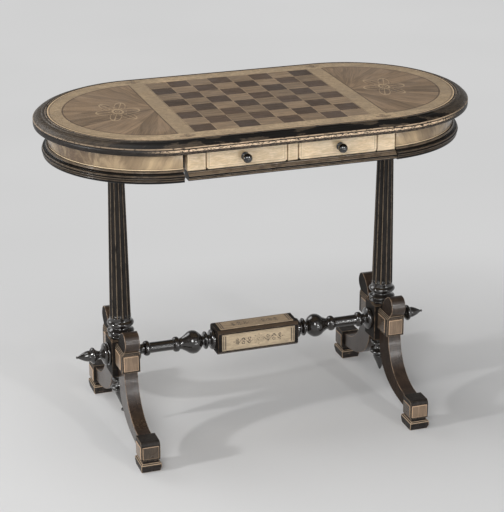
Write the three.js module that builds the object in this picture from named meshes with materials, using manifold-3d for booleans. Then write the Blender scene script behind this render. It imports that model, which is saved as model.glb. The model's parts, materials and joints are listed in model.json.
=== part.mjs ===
// A games table: an inlaid top with round ends on a case with two drawers, two swing-out end
// compartments under the top, and a stand of two fluted columns, scrolled legs and a turned stretcher.
// Millimetres, +Z up. The origin is on the floor under the middle of the top, and +Y points to the back.
import * as THREE from 'three';
import { mergeVertices } from 'three/addons/utils/BufferGeometryUtils.js';
import Module from 'manifold-3d';

const wasm = await Module();
wasm.setup();

// Clearances
const seat = 0.3; // between glued or resting faces
const doorGap = 2; // seam between the case and a closed end compartment
const slideGap = 0.7; // above a compartment or drawer, to what it slides under
const drawerGap = 1.6; // on each side of a drawer front
const overrun = 5; // how far a cutting block runs past what it cuts

// Top: a stadium outline, two half circles joined by a straight run
const tableHeight = 733;
const topRadius = 256.4;
const topThickness = 26;
const edgeWidth = 30.4; // of the moulding round the core board
const veneer = 1.2;
const stripWidth = 35.6; // border beside the board and cross strips at its ends
const endPanelMargin = 34;
const endPanelLap = 4; // the end panels' straight sides lie this far beyond the half circles' middles

// Frieze, case and base moulding
const topOverhang = 32.7; // of the top beyond the frieze
const friezeWall = 12;
const caseHeight = 45.2; // above the straight base moulding and the case bottom
const mouldingProjection = 13.5;
const straightMoulding = 17;
const endMoulding = 24.5;
const endHeight = 40; // from the moulding under an end compartment to the underside of the top
const mouldingDepth = 34; // from its outermost edge inwards
const bottomBoard = 8;
const endBottomBoard = 7;
const endSide = 10;
const seamBeyond = 4.5; // the seams at the case's ends lie this far beyond the half circles' middles
const caseShift = 8; // the case and its drawers sit this far to the right of the top's middle
const middleStile = 22.6;
const endStile = 39.7;
const stileDepth = 18.7;
const guideWidth = 8;
const guideHeight = 12;
const partitionWidth = 12;

// Drawers
const drawerRearSpace = 55.4; // behind a closed drawer
const drawerFront = 12;
const drawerSide = 8;
const drawerBack = 7;
const drawerBottom = 5;
const drawerSideDrop = 5; // the sides stop this far below the top of the front
const frontCornerRadius = 6;
const knobLength = 25;
const knobRadius = 12.2;
const knobRise = 20.5; // height of the knob's axis above the case floor
const knobOffset = 4.5; // outwards from the middle of its drawer

// Hinges at the rear end of each seam
const hingeLeaf = 2;
const hingeRise = 5; // bottom of the hinge above the compartment's moulding
const hingeHeight = 30;
const hingeReach = 15;
const knuckleRadius = 3.8;
const knuckleStandoff = 4.6; // axis behind the moulding's outermost edge
const hingePin = 1.6;
const pinClearance = 0.15;
const leftAjarDegrees = 0.8;

// Bearers under the case, which carry the columns
const bearerDrop = 16;
const bearerHalfWidth = 40;
const bearerInner = 110;
const bearerBeyond = 40; // past the column's axis

// Columns and posts
const columnBeyond = 88; // the columns stand this far beyond the half circles' middles
const columnBaseRadius = 30;
const shaftFoot = 23.6;
const shaftHead = 17;
const columnBaseHeight = 45.5;
const fluteCount = 12;
const fluteDepth = 2.4;
const fluteSteps = 4;
const fluteRunout = 7;
const postHalf = 28;
const postFoot = 135.5;
const postHead = 224.5;
const postChamfer = 2.5;
const pendantLength = 85.5;
const pendantRadius = 25;
const pendantBall = 4.5; // on a short neck below the left pendant; the right one has lost its own
const pendantNeck = 1.6;

// Stretcher between the posts
const stretcherHeight = 183.5;
const boxHalf = 95;
const boxWidth = 60;
const boxHeight = 57;
const boxChamfer = 6;
const boxPanelMargin = 9;
const boxPanelRaise = 1.2;
const turningRadius = 26.4;
const finialLength = 76;
const finialRadius = 25.7;

// Legs
const legThickness = 30.5;
const headThickness = 33;
const legReach = 186.7; // where the leg board meets its foot block
const legTop = 262.5;
const headReach = 72; // the head's reach beyond the post
const kneeFoot = 168;
const kneeHead = 211;
const kneeDepth = 57;
const kneeHalf = 20.5;
const kneePanel = 1.6;
const kneePanelMargin = 4;
const collarStep = 3.4;
const collarLip = 3;
const collarInset = 1.4;
const legEndLow = 36;
const legEndHigh = 66;
const footDepth = 42;
const footHalf = 21;
const footHeight = 70;
const footRound = 9;
const footPanel = 1.4;
const padDepth = 54;
const padHalf = 22.5;
const padHeight = 22;
const neckHeight = 6;
const padSetBack = 7; // the pad starts this far inside the foot block's inner face

// Facets
const arcSteps = 22;
const turnedSteps = 16;
const curveSteps = 9;

// Finishes: a warm veneered top on ebonized turned wood
const paint = (color, roughness, metalness = 0) =>
  new THREE.MeshStandardMaterial({ color, roughness, metalness });
const finishes = {
  walnut: paint(0x4a2f1e, 0.4),
  ebonized: paint(0x1d1613, 0.35),
  maple: paint(0xb89a6a, 0.45),
  flamed: paint(0x8a6138, 0.4),
  burr: paint(0x9c7b4c, 0.4),
  pine: paint(0xc2a67a, 0.7),
  brass: paint(0xb08d4a, 0.35, 0.9),
};

// Places worked out from the sizes above
const topUnderside = tableHeight - topThickness;
const veneerUnderside = tableHeight - veneer;
const coreRadius = topRadius - edgeWidth;
const boardHalf = coreRadius - stripWidth;
const endPanelX = boardHalf + stripWidth;
const endPanelRadius = coreRadius - endPanelMargin;
const straightHalf = endPanelX - endPanelLap;
const friezeRadius = topRadius - topOverhang;
const caseHalf = straightHalf + seamBeyond;
const caseTop = topUnderside - seat;
const caseFloor = caseTop - caseHeight;
const endFloor = topUnderside - endHeight;
const columnX = straightHalf + columnBeyond;
const bearerEnd = columnX + bearerBeyond;
const mouldingRadius = friezeRadius + mouldingProjection;
const mouldingInner = mouldingRadius - mouldingDepth;
const endTop = topUnderside - slideGap;
const endInterior = friezeRadius - friezeWall;
const bearerTop = caseFloor - bottomBoard - seat;
const bearerFoot = bearerTop - bearerDrop;
const hingeX = caseHalf + doorGap / 2; // from the middle of the case
const hingeY = mouldingRadius + knuckleStandoff;
const hingeFoot = endFloor + hingeRise;
const drawerInner = middleStile / 2 + drawerGap;
const drawerOuter = caseHalf - endStile - drawerGap;
const drawerTop = caseTop - slideGap - drawerGap;
const drawerFoot = caseFloor + seat;
const drawerRear = friezeRadius - friezeWall - drawerRearSpace;

// Mesh helpers

function toSolid(geometry) {
  const plain = geometry.index ? geometry.toNonIndexed() : geometry.clone();
  const bare = new THREE.BufferGeometry().setAttribute('position', plain.getAttribute('position'));
  const merged = mergeVertices(bare, 1e-3);
  const corners = [];
  const index = merged.index.array;
  for (let i = 0; i < index.length; i += 3) {
    const [a, b, c] = [index[i], index[i + 1], index[i + 2]];
    if (a !== b && b !== c && c !== a) corners.push([a, b, c]);
  }
  const build = (triples) =>
    new wasm.Manifold(
      new wasm.Mesh({
        numProp: 3,
        vertProperties: new Float32Array(merged.attributes.position.array),
        triVerts: new Uint32Array(triples.flat()),
      }),
    );
  const made = build(corners);
  return made.volume() < 0 ? build(corners.map(([a, b, c]) => [a, c, b])) : made;
}

function toGeometry(solid) {
  const mesh = solid.getMesh();
  const places = new Float32Array(mesh.numVert * 3);
  for (let i = 0; i < mesh.numVert; i++) {
    places.set(mesh.vertProperties.subarray(i * mesh.numProp, i * mesh.numProp + 3), i * 3);
  }
  const geometry = new THREE.BufferGeometry();
  geometry.setAttribute('position', new THREE.BufferAttribute(places, 3));
  geometry.setIndex(new THREE.BufferAttribute(new Uint32Array(mesh.triVerts), 1));
  geometry.computeVertexNormals();
  return geometry;
}

const join = (...shapes) =>
  toGeometry(shapes.map(toSolid).reduce((whole, piece) => whole.add(piece)));
const cut = (shape, ...tools) =>
  toGeometry(tools.map(toSolid).reduce((rest, tool) => rest.subtract(tool), toSolid(shape)));
const keep = (shape, block) => toGeometry(toSolid(shape).intersect(toSolid(block)));

// A block between two corners
function block([x0, x1], [y0, y1], [z0, z1]) {
  const shape = new THREE.BoxGeometry(x1 - x0, y1 - y0, z1 - z0);
  return shape.translate((x0 + x1) / 2, (y0 + y1) / 2, (z0 + z1) / 2);
}

// A closed skin through rings of equal counts of points, capped at both ends or run round in a loop
function loft(rings, loop = false) {
  const places = [];
  const quad = (a, b, c, d) => places.push(...[a, b, c, a, c, d].flatMap((p) => [p.x, p.y, p.z]));
  const spans = loop ? rings.length : rings.length - 1;
  for (let i = 0; i < spans; i++) {
    const low = rings[i];
    const high = rings[(i + 1) % rings.length];
    low.forEach((point, j) => {
      const next = (j + 1) % low.length;
      quad(point, low[next], high[next], high[j]);
    });
  }
  if (!loop) {
    const cap = (ring, forward) => {
      const middle = new THREE.Vector3();
      ring.forEach((point) => middle.add(point));
      middle.divideScalar(ring.length);
      ring.forEach((point, j) => {
        const next = ring[(j + 1) % ring.length];
        const corners = forward ? [point, next, middle] : [next, point, middle];
        corners.forEach((p) => places.push(p.x, p.y, p.z));
      });
    };
    cap(rings[0], false);
    cap(rings[rings.length - 1], true);
  }
  const skin = new THREE.BufferGeometry();
  return skin.setAttribute('position', new THREE.Float32BufferAttribute(places, 3));
}

// Shares of a length and of a radius, turned about +Z from its foot upwards
function turned(shares, length, radius, steps = turnedSteps) {
  const points = shares.map(([along, out]) => new THREE.Vector2(out * radius, along * length));
  points.unshift(new THREE.Vector2(0, points[0].y));
  points.push(new THREE.Vector2(0, points[points.length - 1].y));
  return new THREE.LatheGeometry(points, steps).rotateX(Math.PI / 2);
}

// A closed section, given as radius and height, turned right round +Z
function turnedRing(section, steps) {
  const points = section.map(([radius, height]) => new THREE.Vector2(radius, height));
  points.push(points[0].clone());
  return new THREE.LatheGeometry(points, steps).rotateX(Math.PI / 2);
}

// Stations along a stadium, each with the direction that points outwards
function stadiumStations() {
  const stations = [];
  [1, -1].forEach((side) => {
    for (let i = 0; i <= arcSteps; i++) {
      const angle = (side > 0 ? -Math.PI / 2 : Math.PI / 2) + (Math.PI * i) / arcSteps;
      stations.push({ x: side * straightHalf, nx: Math.cos(angle), ny: Math.sin(angle) });
    }
  });
  return stations;
}

function stadiumSweep(section) {
  const rings = stadiumStations().map(({ x, nx, ny }) =>
    section.map(([radius, z]) => new THREE.Vector3(x + nx * radius, ny * radius, z)),
  );
  return loft(rings, true);
}

function stadiumShape(radius) {
  const outline = stadiumStations().map(({ x, nx, ny }) => new THREE.Vector2(x + nx * radius, ny * radius));
  return new THREE.Shape(outline);
}

function plate(shape, low, high) {
  const settings = { depth: high - low, bevelEnabled: false, curveSegments: arcSteps };
  return new THREE.ExtrudeGeometry(shape, settings).translate(0, 0, low);
}

const mirrored = (geometry) => geometry.clone().scale(-1, 1, 1);

const table = new THREE.Group();

function add(name, geometry, material, parent = table) {
  const mesh = new THREE.Mesh(toGeometry(toSolid(geometry)), material);
  mesh.name = name;
  parent.add(mesh);
  return mesh;
}

const sides = [
  ['left', -1],
  ['right', 1],
];

// Adds the right-hand shape, and its mirror image on the left
function addPair(name, geometry, material, parent = table) {
  sides.forEach(([word, side]) =>
    add(`${name}_${word}`, side > 0 ? geometry : mirrored(geometry), material, parent),
  );
}

// Top

// The edge, as shares of the overhang beyond the core and of the top's thickness
const edgeShares = [
  [0, 1],
  [0.1, 1],
  [0.14, 0.955],
  [0.22, 0.99],
  [0.34, 0.99],
  [0.39, 0.93],
  [0.58, 0.86],
  [0.77, 0.75],
  [0.94, 0.6],
  [1, 0.545],
  [0.97, 0.45],
  [1, 0.39],
  [1, 0.1],
  [0.9, 0],
  [0, 0],
];

function buildTop() {
  add('top_board', plate(stadiumShape(coreRadius), topUnderside, veneerUnderside - seat), finishes.pine);

  const edgeInner = coreRadius + seat;
  const edgeSection = edgeShares.map(([out, up]) => [
    edgeInner + out * (topRadius - edgeInner),
    topUnderside + up * topThickness,
  ]);
  add('top_edge_moulding', stadiumSweep(edgeSection), finishes.ebonized);

  const endPanel = new THREE.Shape();
  endPanel.absarc(endPanelX, 0, endPanelRadius, -Math.PI / 2, Math.PI / 2);
  endPanel.closePath();
  const wide = boardHalf + seat;
  const windowShapes = [
    block([-wide, wide], [-wide, wide], [veneerUnderside - overrun, tableHeight + overrun]),
  ];
  const endWindow = new THREE.Shape();
  endWindow.absarc(endPanelX, 0, endPanelRadius + seat, -Math.PI / 2, Math.PI / 2);
  endWindow.lineTo(endPanelX - seat, endPanelRadius + seat);
  endWindow.lineTo(endPanelX - seat, -endPanelRadius - seat);
  const endCut = plate(endWindow, veneerUnderside - overrun, tableHeight + overrun);
  windowShapes.push(endCut, mirrored(endCut));
  const band = plate(stadiumShape(coreRadius), veneerUnderside, tableHeight);
  add('border_band', cut(band, ...windowShapes), finishes.maple);

  addPair('end_panel', plate(endPanel, veneerUnderside, tableHeight), finishes.flamed);
  const board = [-boardHalf, boardHalf];
  add('chessboard_panel', block(board, board, [veneerUnderside, tableHeight]), finishes.burr);
}

// Case, in a group of its own because it stands a little off the top's middle

const carcase = new THREE.Group();
carcase.position.x = caseShift;
table.add(carcase);

// A base moulding, as shares of its projection and its height: fillet, cove, torus, quirk and bead
const baseShares = [
  [0.12, 1],
  [0.12, 0.9],
  [0.22, 0.79],
  [0.42, 0.72],
  [0.7, 0.68],
  [0.72, 0.6],
  [0.93, 0.52],
  [1, 0.42],
  [0.96, 0.3],
  [0.8, 0.22],
  [0.88, 0.12],
  [0.72, 0],
];

function mouldingSection(top, height) {
  const outer = baseShares.map(([out, up]) => [
    friezeRadius + out * mouldingProjection,
    top - height + up * height,
  ]);
  return [[mouldingInner, top - height], [mouldingInner, top], ...outer];
}

// A section in depth and height, drawn out along X between two places
function straightRun(section, x0, x1) {
  const ring = (x) => section.map(([depth, z]) => new THREE.Vector3(x, depth, z));
  return loft([ring(x0), ring(x1)]);
}

function buildCase() {
  const run = straightRun(mouldingSection(caseFloor, straightMoulding), -caseHalf, caseHalf);
  add('base_moulding_back', run, finishes.ebonized, carcase);
  add('base_moulding_front', run.clone().scale(1, -1, 1), finishes.ebonized, carcase);

  const across = [-caseHalf, caseHalf];
  const standing = [caseFloor + seat, caseTop];
  const guideInner = drawerOuter + drawerGap;
  const floorDepth = mouldingInner - seat;
  const guide = block(
    [guideInner, guideInner + guideWidth],
    [-floorDepth, drawerRear + overrun],
    [caseFloor - bottomBoard / 2, caseFloor + guideHeight],
  );
  const floor = block(across, [-floorDepth, floorDepth], [caseFloor - bottomBoard, caseFloor]);
  add('case_bottom', join(floor, guide, mirrored(guide)), finishes.pine, carcase);

  const wallInner = friezeRadius - friezeWall;
  add('case_back', block(across, [wallInner, friezeRadius], standing), finishes.maple, carcase);
  const sideDepth = [-friezeRadius + stileDepth + seat, wallInner - seat];
  const sideWall = block([caseHalf - friezeWall, caseHalf], sideDepth, standing);
  addPair('case_side', sideWall, finishes.walnut, carcase);

  const stileDepths = [-friezeRadius, -friezeRadius + stileDepth];
  const endPost = block([caseHalf - endStile, caseHalf], stileDepths, standing);
  addPair('stile', endPost, finishes.maple, carcase);
  const facing = block([-middleStile / 2, middleStile / 2], stileDepths, standing);
  const web = block(
    [-partitionWidth / 2, partitionWidth / 2],
    [-friezeRadius + stileDepth / 2, wallInner - seat],
    standing,
  );
  add('middle_partition', join(facing, web), finishes.maple, carcase);

  addPair(
    'bearer',
    block([bearerInner, bearerEnd], [-bearerHalfWidth, bearerHalfWidth], [bearerFoot, bearerTop]),
    finishes.pine,
  );
}

// Drawers

// A knob from its flange outwards, as shares of its length and of its radius
const knobShares = [
  [0, 0.86],
  [0.1, 0.9],
  [0.16, 0.6],
  [0.3, 0.46],
  [0.4, 0.56],
  [0.52, 0.9],
  [0.64, 1],
  [0.78, 0.94],
  [0.9, 0.68],
  [0.97, 0.36],
];

function drawerFrontShape(x0, x1, z0, z1) {
  const r = frontCornerRadius;
  const shape = new THREE.Shape();
  shape.moveTo(x0, z1);
  shape.lineTo(x0, z0 + r);
  shape.absarc(x0 + r, z0 + r, r, Math.PI, (3 * Math.PI) / 2);
  shape.absarc(x1 - r, z0 + r, r, -Math.PI / 2, 0);
  shape.lineTo(x1, z1);
  return shape;
}

function buildDrawer(word, mirror) {
  const place = (name, geometry, material) =>
    add(`drawer_${name}_${word}`, mirror ? mirrored(geometry) : geometry, material, carcase);
  const [x0, x1] = [drawerInner, drawerOuter];
  const front = -friezeRadius;
  const face = new THREE.ExtrudeGeometry(drawerFrontShape(x0, x1, drawerFoot, drawerTop), {
    depth: drawerFront,
    bevelEnabled: false,
    curveSegments: 4,
  });
  face.rotateX(Math.PI / 2).translate(0, front + drawerFront, 0);
  place('front', face, finishes.maple);

  const sideHeights = [drawerFoot, drawerTop - drawerSideDrop];
  const boxStart = front + drawerFront + seat;
  const depths = [boxStart, drawerRear];
  place('inner_side', block([x0, x0 + drawerSide], depths, sideHeights), finishes.pine);
  place('outer_side', block([x1 - drawerSide, x1], depths, sideHeights), finishes.pine);
  const between = [x0 + drawerSide + seat, x1 - drawerSide - seat];
  place('back', block(between, [drawerRear - drawerBack, drawerRear], sideHeights), finishes.pine);
  const floorDepths = [boxStart, drawerRear - drawerBack - seat];
  place('bottom', block(between, floorDepths, [drawerFoot, drawerFoot + drawerBottom]), finishes.pine);

  const knob = turned(knobShares, knobLength, knobRadius).rotateX(Math.PI / 2);
  knob.translate((x0 + x1) / 2 + knobOffset, front - seat, caseFloor + knobRise);
  place('knob', knob, finishes.ebonized);
}

// End compartments, made for the right side in the table's frame, then hung on their hinge

function beyond(start) {
  const far = straightHalf + topRadius + overrun;
  return block([start, far], [-topRadius, topRadius], [0, tableHeight]);
}

// The pieces of an end compartment whose inner side starts at the given distance from the top's middle
function endPieces(start) {
  const rounds = 2 * arcSteps;
  const centred = (geometry) => keep(geometry.translate(straightHalf, 0, 0), beyond(start));
  const wallFoot = endFloor + seat;
  const wall = [
    [endInterior, wallFoot],
    [endInterior, endTop],
    [friezeRadius, endTop],
    [friezeRadius, wallFoot],
  ];
  const floorRadius = mouldingInner - seat;
  const floor = new THREE.CylinderGeometry(floorRadius, floorRadius, endBottomBoard, rounds);
  floor.rotateX(Math.PI / 2).translate(0, 0, endFloor - endBottomBoard / 2);
  const sideEnd = start + endSide;
  const sideHalf = Math.sqrt((endInterior - seat) ** 2 - (sideEnd - straightHalf) ** 2) - seat;
  return [
    ['frieze', centred(turnedRing(wall, rounds)), finishes.flamed],
    ['base_moulding', centred(turnedRing(mouldingSection(endFloor, endMoulding), rounds)), finishes.ebonized],
    ['bottom', centred(floor), finishes.pine],
    ['inner_side', block([start, sideEnd], [-sideHalf, sideHalf], [wallFoot, endTop]), finishes.walnut],
    ['hinge_leaf', hingeOuterLeaf(start), finishes.brass],
  ];
}

function cylinderUp(radius, low, high, x, y) {
  const shape = new THREE.CylinderGeometry(radius, radius, high - low, turnedSteps);
  return shape.rotateX(Math.PI / 2).translate(x, y, (low + high) / 2);
}

const hingeHead = hingeFoot + hingeHeight;
const hingeMiddle = hingeFoot + hingeHeight / 2;

// The leaf that turns with the compartment: a strap, a crank and the upper half of the knuckle
function hingeOuterLeaf(start) {
  const heights = [hingeMiddle + seat, hingeHead];
  const axisX = start - doorGap / 2;
  const strapBack = friezeRadius + seat;
  const near = start + seat;
  const strap = block([near, start + hingeReach], [strapBack, strapBack + hingeLeaf], heights);
  const crank = block([near, near + hingeLeaf], [strapBack, hingeY], heights);
  const knuckle = cylinderUp(knuckleRadius, ...heights, axisX, hingeY);
  const boreRadius = hingePin + pinClearance;
  const bore = cylinderUp(boreRadius, heights[0] - overrun, heights[1] + overrun, axisX, hingeY);
  return cut(join(strap, crank, knuckle), bore);
}

// The leaf on the back of the case: the lower half of the knuckle, with the pin standing in it
function hingeCaseLeaf() {
  const heights = [hingeFoot, hingeMiddle];
  const strapBack = friezeRadius + seat;
  const inner = caseHalf - seat;
  const strap = block([inner - hingeReach, inner], [strapBack, strapBack + hingeLeaf], heights);
  const crank = block([inner - hingeLeaf, inner], [strapBack, hingeY], heights);
  const knuckle = cylinderUp(knuckleRadius, ...heights, hingeX, hingeY);
  const pin = cylinderUp(hingePin, hingeMiddle - hingeLeaf, hingeHead - seat, hingeX, hingeY);
  return join(strap, crank, knuckle, pin);
}

function buildEnd(word, side, ajarDegrees) {
  const start = caseHalf + doorGap + side * caseShift;
  const axisX = side * (start - doorGap / 2);
  const hung = new THREE.Group();
  hung.position.set(axisX, hingeY, 0);
  hung.rotation.z = side * THREE.MathUtils.degToRad(ajarDegrees);
  endPieces(start).forEach(([name, geometry, material]) => {
    const shape = side > 0 ? geometry : mirrored(geometry);
    add(`end_${name}_${word}`, shape.clone().translate(-axisX, -hingeY, 0), material, hung);
  });
  table.add(hung);
}

// Columns

// The column's turned base, as shares of its height and of its radius
const columnBaseShares = [
  [0, 0.87],
  [0.06, 0.93],
  [0.13, 0.8],
  [0.18, 0.92],
  [0.26, 1],
  [0.36, 0.86],
  [0.47, 0.67],
  [0.55, 0.75],
  [0.615, 0.95],
  [0.725, 0.98],
  [0.83, 0.82],
  [1, 0.79],
];

// The fluted shaft: shares of its height, its taper and the depth of its flutes
const shaftShares = [
  [0, 0, 0],
  [0.02, 0.012, 1],
  [0.35, 0.3, 1],
  [1, 1, 1],
];

function buildColumns() {
  const foot = postHead + seat;
  const head = bearerFoot - seat;
  const shaftStart = foot + columnBaseHeight;
  const steps = fluteCount * fluteSteps;
  const ring = (radius, depth, z) =>
    Array.from({ length: steps }, (_, i) => {
      const turn = (2 * Math.PI * i) / steps;
      const hollow = Math.sin((Math.PI * (i % fluteSteps)) / fluteSteps);
      const r = radius - depth * hollow;
      return new THREE.Vector3(columnX + r * Math.cos(turn), r * Math.sin(turn), z);
    });
  const rings = columnBaseShares.map(([up, out]) =>
    ring(out * columnBaseRadius, 0, foot + up * columnBaseHeight),
  );
  const runout = shaftStart + fluteRunout;
  shaftShares.forEach(([up, taper, flute]) => {
    const z = runout + up * (head - runout);
    const radius = shaftFoot + taper * (shaftHead - shaftFoot);
    rings.push(ring(radius, flute * fluteDepth, z));
  });
  addPair('column', loft(rings), finishes.ebonized);
}

// Posts, their pendants and finials

// Upright square levels, each as height, half width, and near and far depth, joined into one block
function stack(levels, x) {
  const ring = ([z, half, near, far]) =>
    [
      [-half, near],
      [half, near],
      [half, far],
      [-half, far],
    ].map(([dx, y]) => new THREE.Vector3(x + dx, y, z));
  return loft(levels.map(ring));
}

// A pendant from its tip upwards
const pendantShares = [
  [0, 0.08],
  [0.085, 0.19],
  [0.24, 0.42],
  [0.36, 0.6],
  [0.41, 0.65],
  [0.46, 0.62],
  [0.49, 0.5],
  [0.51, 0.75],
  [0.535, 0.96],
  [0.57, 1],
  [0.605, 0.94],
  [0.63, 0.64],
  [0.7, 0.48],
  [0.77, 0.56],
  [0.79, 0.82],
  [0.83, 0.88],
  [0.87, 0.8],
  [0.89, 0.58],
  [0.95, 0.66],
  [1, 0.86],
];

// A finial from the post outwards
const finialShares = [
  [0, 0.97],
  [0.055, 1],
  [0.075, 0.89],
  [0.12, 0.95],
  [0.175, 0.82],
  [0.22, 0.5],
  [0.27, 0.34],
  [0.33, 0.34],
  [0.395, 0.5],
  [0.46, 0.7],
  [0.515, 0.67],
  [0.57, 0.47],
  [0.66, 0.45],
  [0.76, 0.34],
  [0.87, 0.18],
  [0.93, 0.07],
  [0.96, 0.11],
  [0.98, 0.06],
];

function buildPosts() {
  const half = postHalf;
  const small = postHalf - postChamfer;
  const levels = [
    [postFoot, small, -small, small],
    [postFoot + postChamfer, half, -half, half],
    [postHead - postChamfer, half, -half, half],
    [postHead, small, -small, small],
  ];
  addPair('post', stack(levels, columnX), finishes.ebonized);

  sides.forEach(([word, side]) => {
    const drop = turned(pendantShares, pendantLength, pendantRadius);
    drop.translate(0, 0, postFoot - seat - pendantLength);
    let shape = drop;
    if (side < 0) {
      const tip = postFoot - seat - pendantLength;
      const ball = new THREE.SphereGeometry(pendantBall, curveSteps, curveSteps);
      const centre = tip - 1.5 * pendantBall;
      const neck = cylinderUp(pendantNeck, centre, tip + pendantBall, 0, 0);
      shape = join(drop, neck, ball.translate(0, 0, centre));
    }
    add(`pendant_${word}`, shape.translate(side * columnX, 0, 0), finishes.ebonized);
  });

  const finial = turned(finialShares, finialLength, finialRadius).rotateY(Math.PI / 2);
  finial.translate(columnX + postHalf + seat, 0, stretcherHeight);
  addPair('finial', finial, finishes.ebonized);
}

// Stretcher

// A stretcher turning from the post towards the box
const turningShares = [
  [0, 0.93],
  [0.05, 0.95],
  [0.06, 0.68],
  [0.08, 0.43],
  [0.12, 0.45],
  [0.13, 0.6],
  [0.155, 0.64],
  [0.18, 0.6],
  [0.195, 0.455],
  [0.48, 0.455],
  [0.505, 0.62],
  [0.545, 0.63],
  [0.56, 0.5],
  [0.585, 0.49],
  [0.64, 0.72],
  [0.69, 0.93],
  [0.73, 1],
  [0.775, 0.95],
  [0.815, 0.75],
  [0.84, 0.58],
  [0.85, 0.4],
  [0.865, 0.4],
  [0.873, 0.75],
  [0.905, 0.74],
  [0.92, 0.44],
  [0.945, 0.44],
  [0.955, 0.84],
  [1, 0.87],
];

function buildStretcher() {
  const start = columnX - postHalf - seat;
  const length = start - boxHalf - boxPanelRaise - seat;
  const turning = turned(turningShares, length, turningRadius).rotateY(-Math.PI / 2);
  addPair('stretcher_turning', turning.translate(start, 0, stretcherHeight), finishes.ebonized);

  const [w, h, c] = [boxWidth / 2, boxHeight / 2, boxChamfer];
  const section = [
    [w - c, -h],
    [w, -h + c],
    [w, h - c],
    [w - c, h],
    [-w + c, h],
    [-w, h - c],
    [-w, -h + c],
    [-w + c, -h],
  ].map(([y, z]) => [y, stretcherHeight + z]);
  const body = straightRun(section, -boxHalf, boxHalf);
  const panelEnds = [-boxHalf + boxPanelMargin, boxHalf - boxPanelMargin];
  const upright = block(
    panelEnds,
    [-w - boxPanelRaise, w + boxPanelRaise],
    [stretcherHeight - h + boxPanelMargin, stretcherHeight + h - boxPanelMargin],
  );
  const level = block(
    panelEnds,
    [-w + boxPanelMargin, w - boxPanelMargin],
    [stretcherHeight - h - boxPanelRaise, stretcherHeight + h + boxPanelRaise],
  );
  const ends = block(
    [-boxHalf - boxPanelRaise, boxHalf + boxPanelRaise],
    [-w + boxPanelMargin, w - boxPanelMargin],
    [stretcherHeight - h + boxPanelMargin, stretcherHeight + h - boxPanelMargin],
  );
  add('stretcher_box', join(body, upright, level, ends), finishes.burr);
}

// Legs, drawn in depth and height for the front of the right side, with depth counted from the middle

// The scrolled head above the knee, as shares of its reach beyond the post and of its rise above the knee
const headShares = [
  [0.17, 0.13],
  [0.22, 0.45],
  [0.42, 0.78],
  [0.58, 0.94],
  [0.68, 1],
  [0.86, 0.95],
  [0.97, 0.76],
  [1, 0.53],
  [0.94, 0.32],
  [0.81, 0.13],
];

// The curves of the leg board below the knee, as shares of its spread and of its height
const outerCurveShares = [
  [0.012, 0.55],
  [0.32, 0.03],
];
const innerCurveShares = [
  [0.01, 0.4],
  [0.3, 0.05],
];

// An outline in depth and height as a board, with depth along +Y and its thickness along X
function board(points, thickness) {
  const shape = new THREE.ExtrudeGeometry(new THREE.Shape(points), { depth: thickness, bevelEnabled: false });
  return shape.rotateX(Math.PI / 2).rotateZ(Math.PI / 2).translate(-thickness / 2, 0, 0);
}

function headOutline() {
  const near = postHalf + seat;
  const rise = legTop - kneeHead;
  const head = headShares.map(([out, up]) => new THREE.Vector2(near + out * headReach, kneeHead + up * rise));
  return [
    new THREE.Vector2(head[0].x, kneeHead - seat),
    ...new THREE.SplineCurve(head).getPoints(2 * curveSteps),
    new THREE.Vector2(near + kneeDepth - kneePanel, kneeHead - seat),
  ];
}

function legOutline() {
  const near = postHalf + seat;
  const kneeOuter = near + kneeDepth - kneePanel;
  const outerStart = new THREE.Vector2(kneeOuter - collarLip, kneeFoot);
  const outerEnd = new THREE.Vector2(legReach, legEndHigh);
  const innerStart = new THREE.Vector2(near, kneeFoot - kneeHalf);
  const innerEnd = new THREE.Vector2(legReach, legEndLow);
  const handle = (start, end, [out, up]) =>
    new THREE.Vector2(start.x + out * (end.x - start.x), end.y + up * (start.y - end.y));
  const sweep = (start, end, shares) => {
    const handles = shares.map((share) => handle(start, end, share));
    return new THREE.CubicBezierCurve(start, ...handles, end).getPoints(curveSteps);
  };
  return [
    new THREE.Vector2(near, kneeHead - kneePanelMargin),
    new THREE.Vector2(outerStart.x, kneeHead - kneePanelMargin),
    ...sweep(outerStart, outerEnd, outerCurveShares),
    ...sweep(innerStart, innerEnd, innerCurveShares).reverse(),
  ];
}

function legShape() {
  const near = postHalf + seat;
  const far = near + kneeDepth - kneePanel;
  const knee = block([-kneeHalf, kneeHalf], [near, far], [kneeFoot, kneeHead]);
  const panelHeights = [kneeFoot + kneePanelMargin, kneeHead - kneePanelMargin];
  const facePanel = block(
    [-kneeHalf + kneePanelMargin, kneeHalf - kneePanelMargin],
    [far - kneePanel, far + kneePanel],
    panelHeights,
  );
  const sidePanel = block(
    [-kneeHalf - kneePanel, kneeHalf + kneePanel],
    [near + kneePanelMargin, far - 3 * kneePanelMargin],
    panelHeights,
  );
  const collar = block(
    [-kneeHalf + collarInset, kneeHalf - collarInset],
    [near, far + collarLip],
    [kneeHead - seat, kneeHead + collarStep],
  );
  const upperCollar = block(
    [-kneeHalf + 2 * collarInset, kneeHalf - 2 * collarInset],
    [near, far + 1.5 * collarLip],
    [kneeHead + collarStep - seat, kneeHead + 2 * collarStep],
  );
  const head = board(headOutline(), headThickness);
  const leg = board(legOutline(), legThickness);
  return join(leg, head, knee, facePanel, sidePanel, collar, upperCollar);
}

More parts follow.
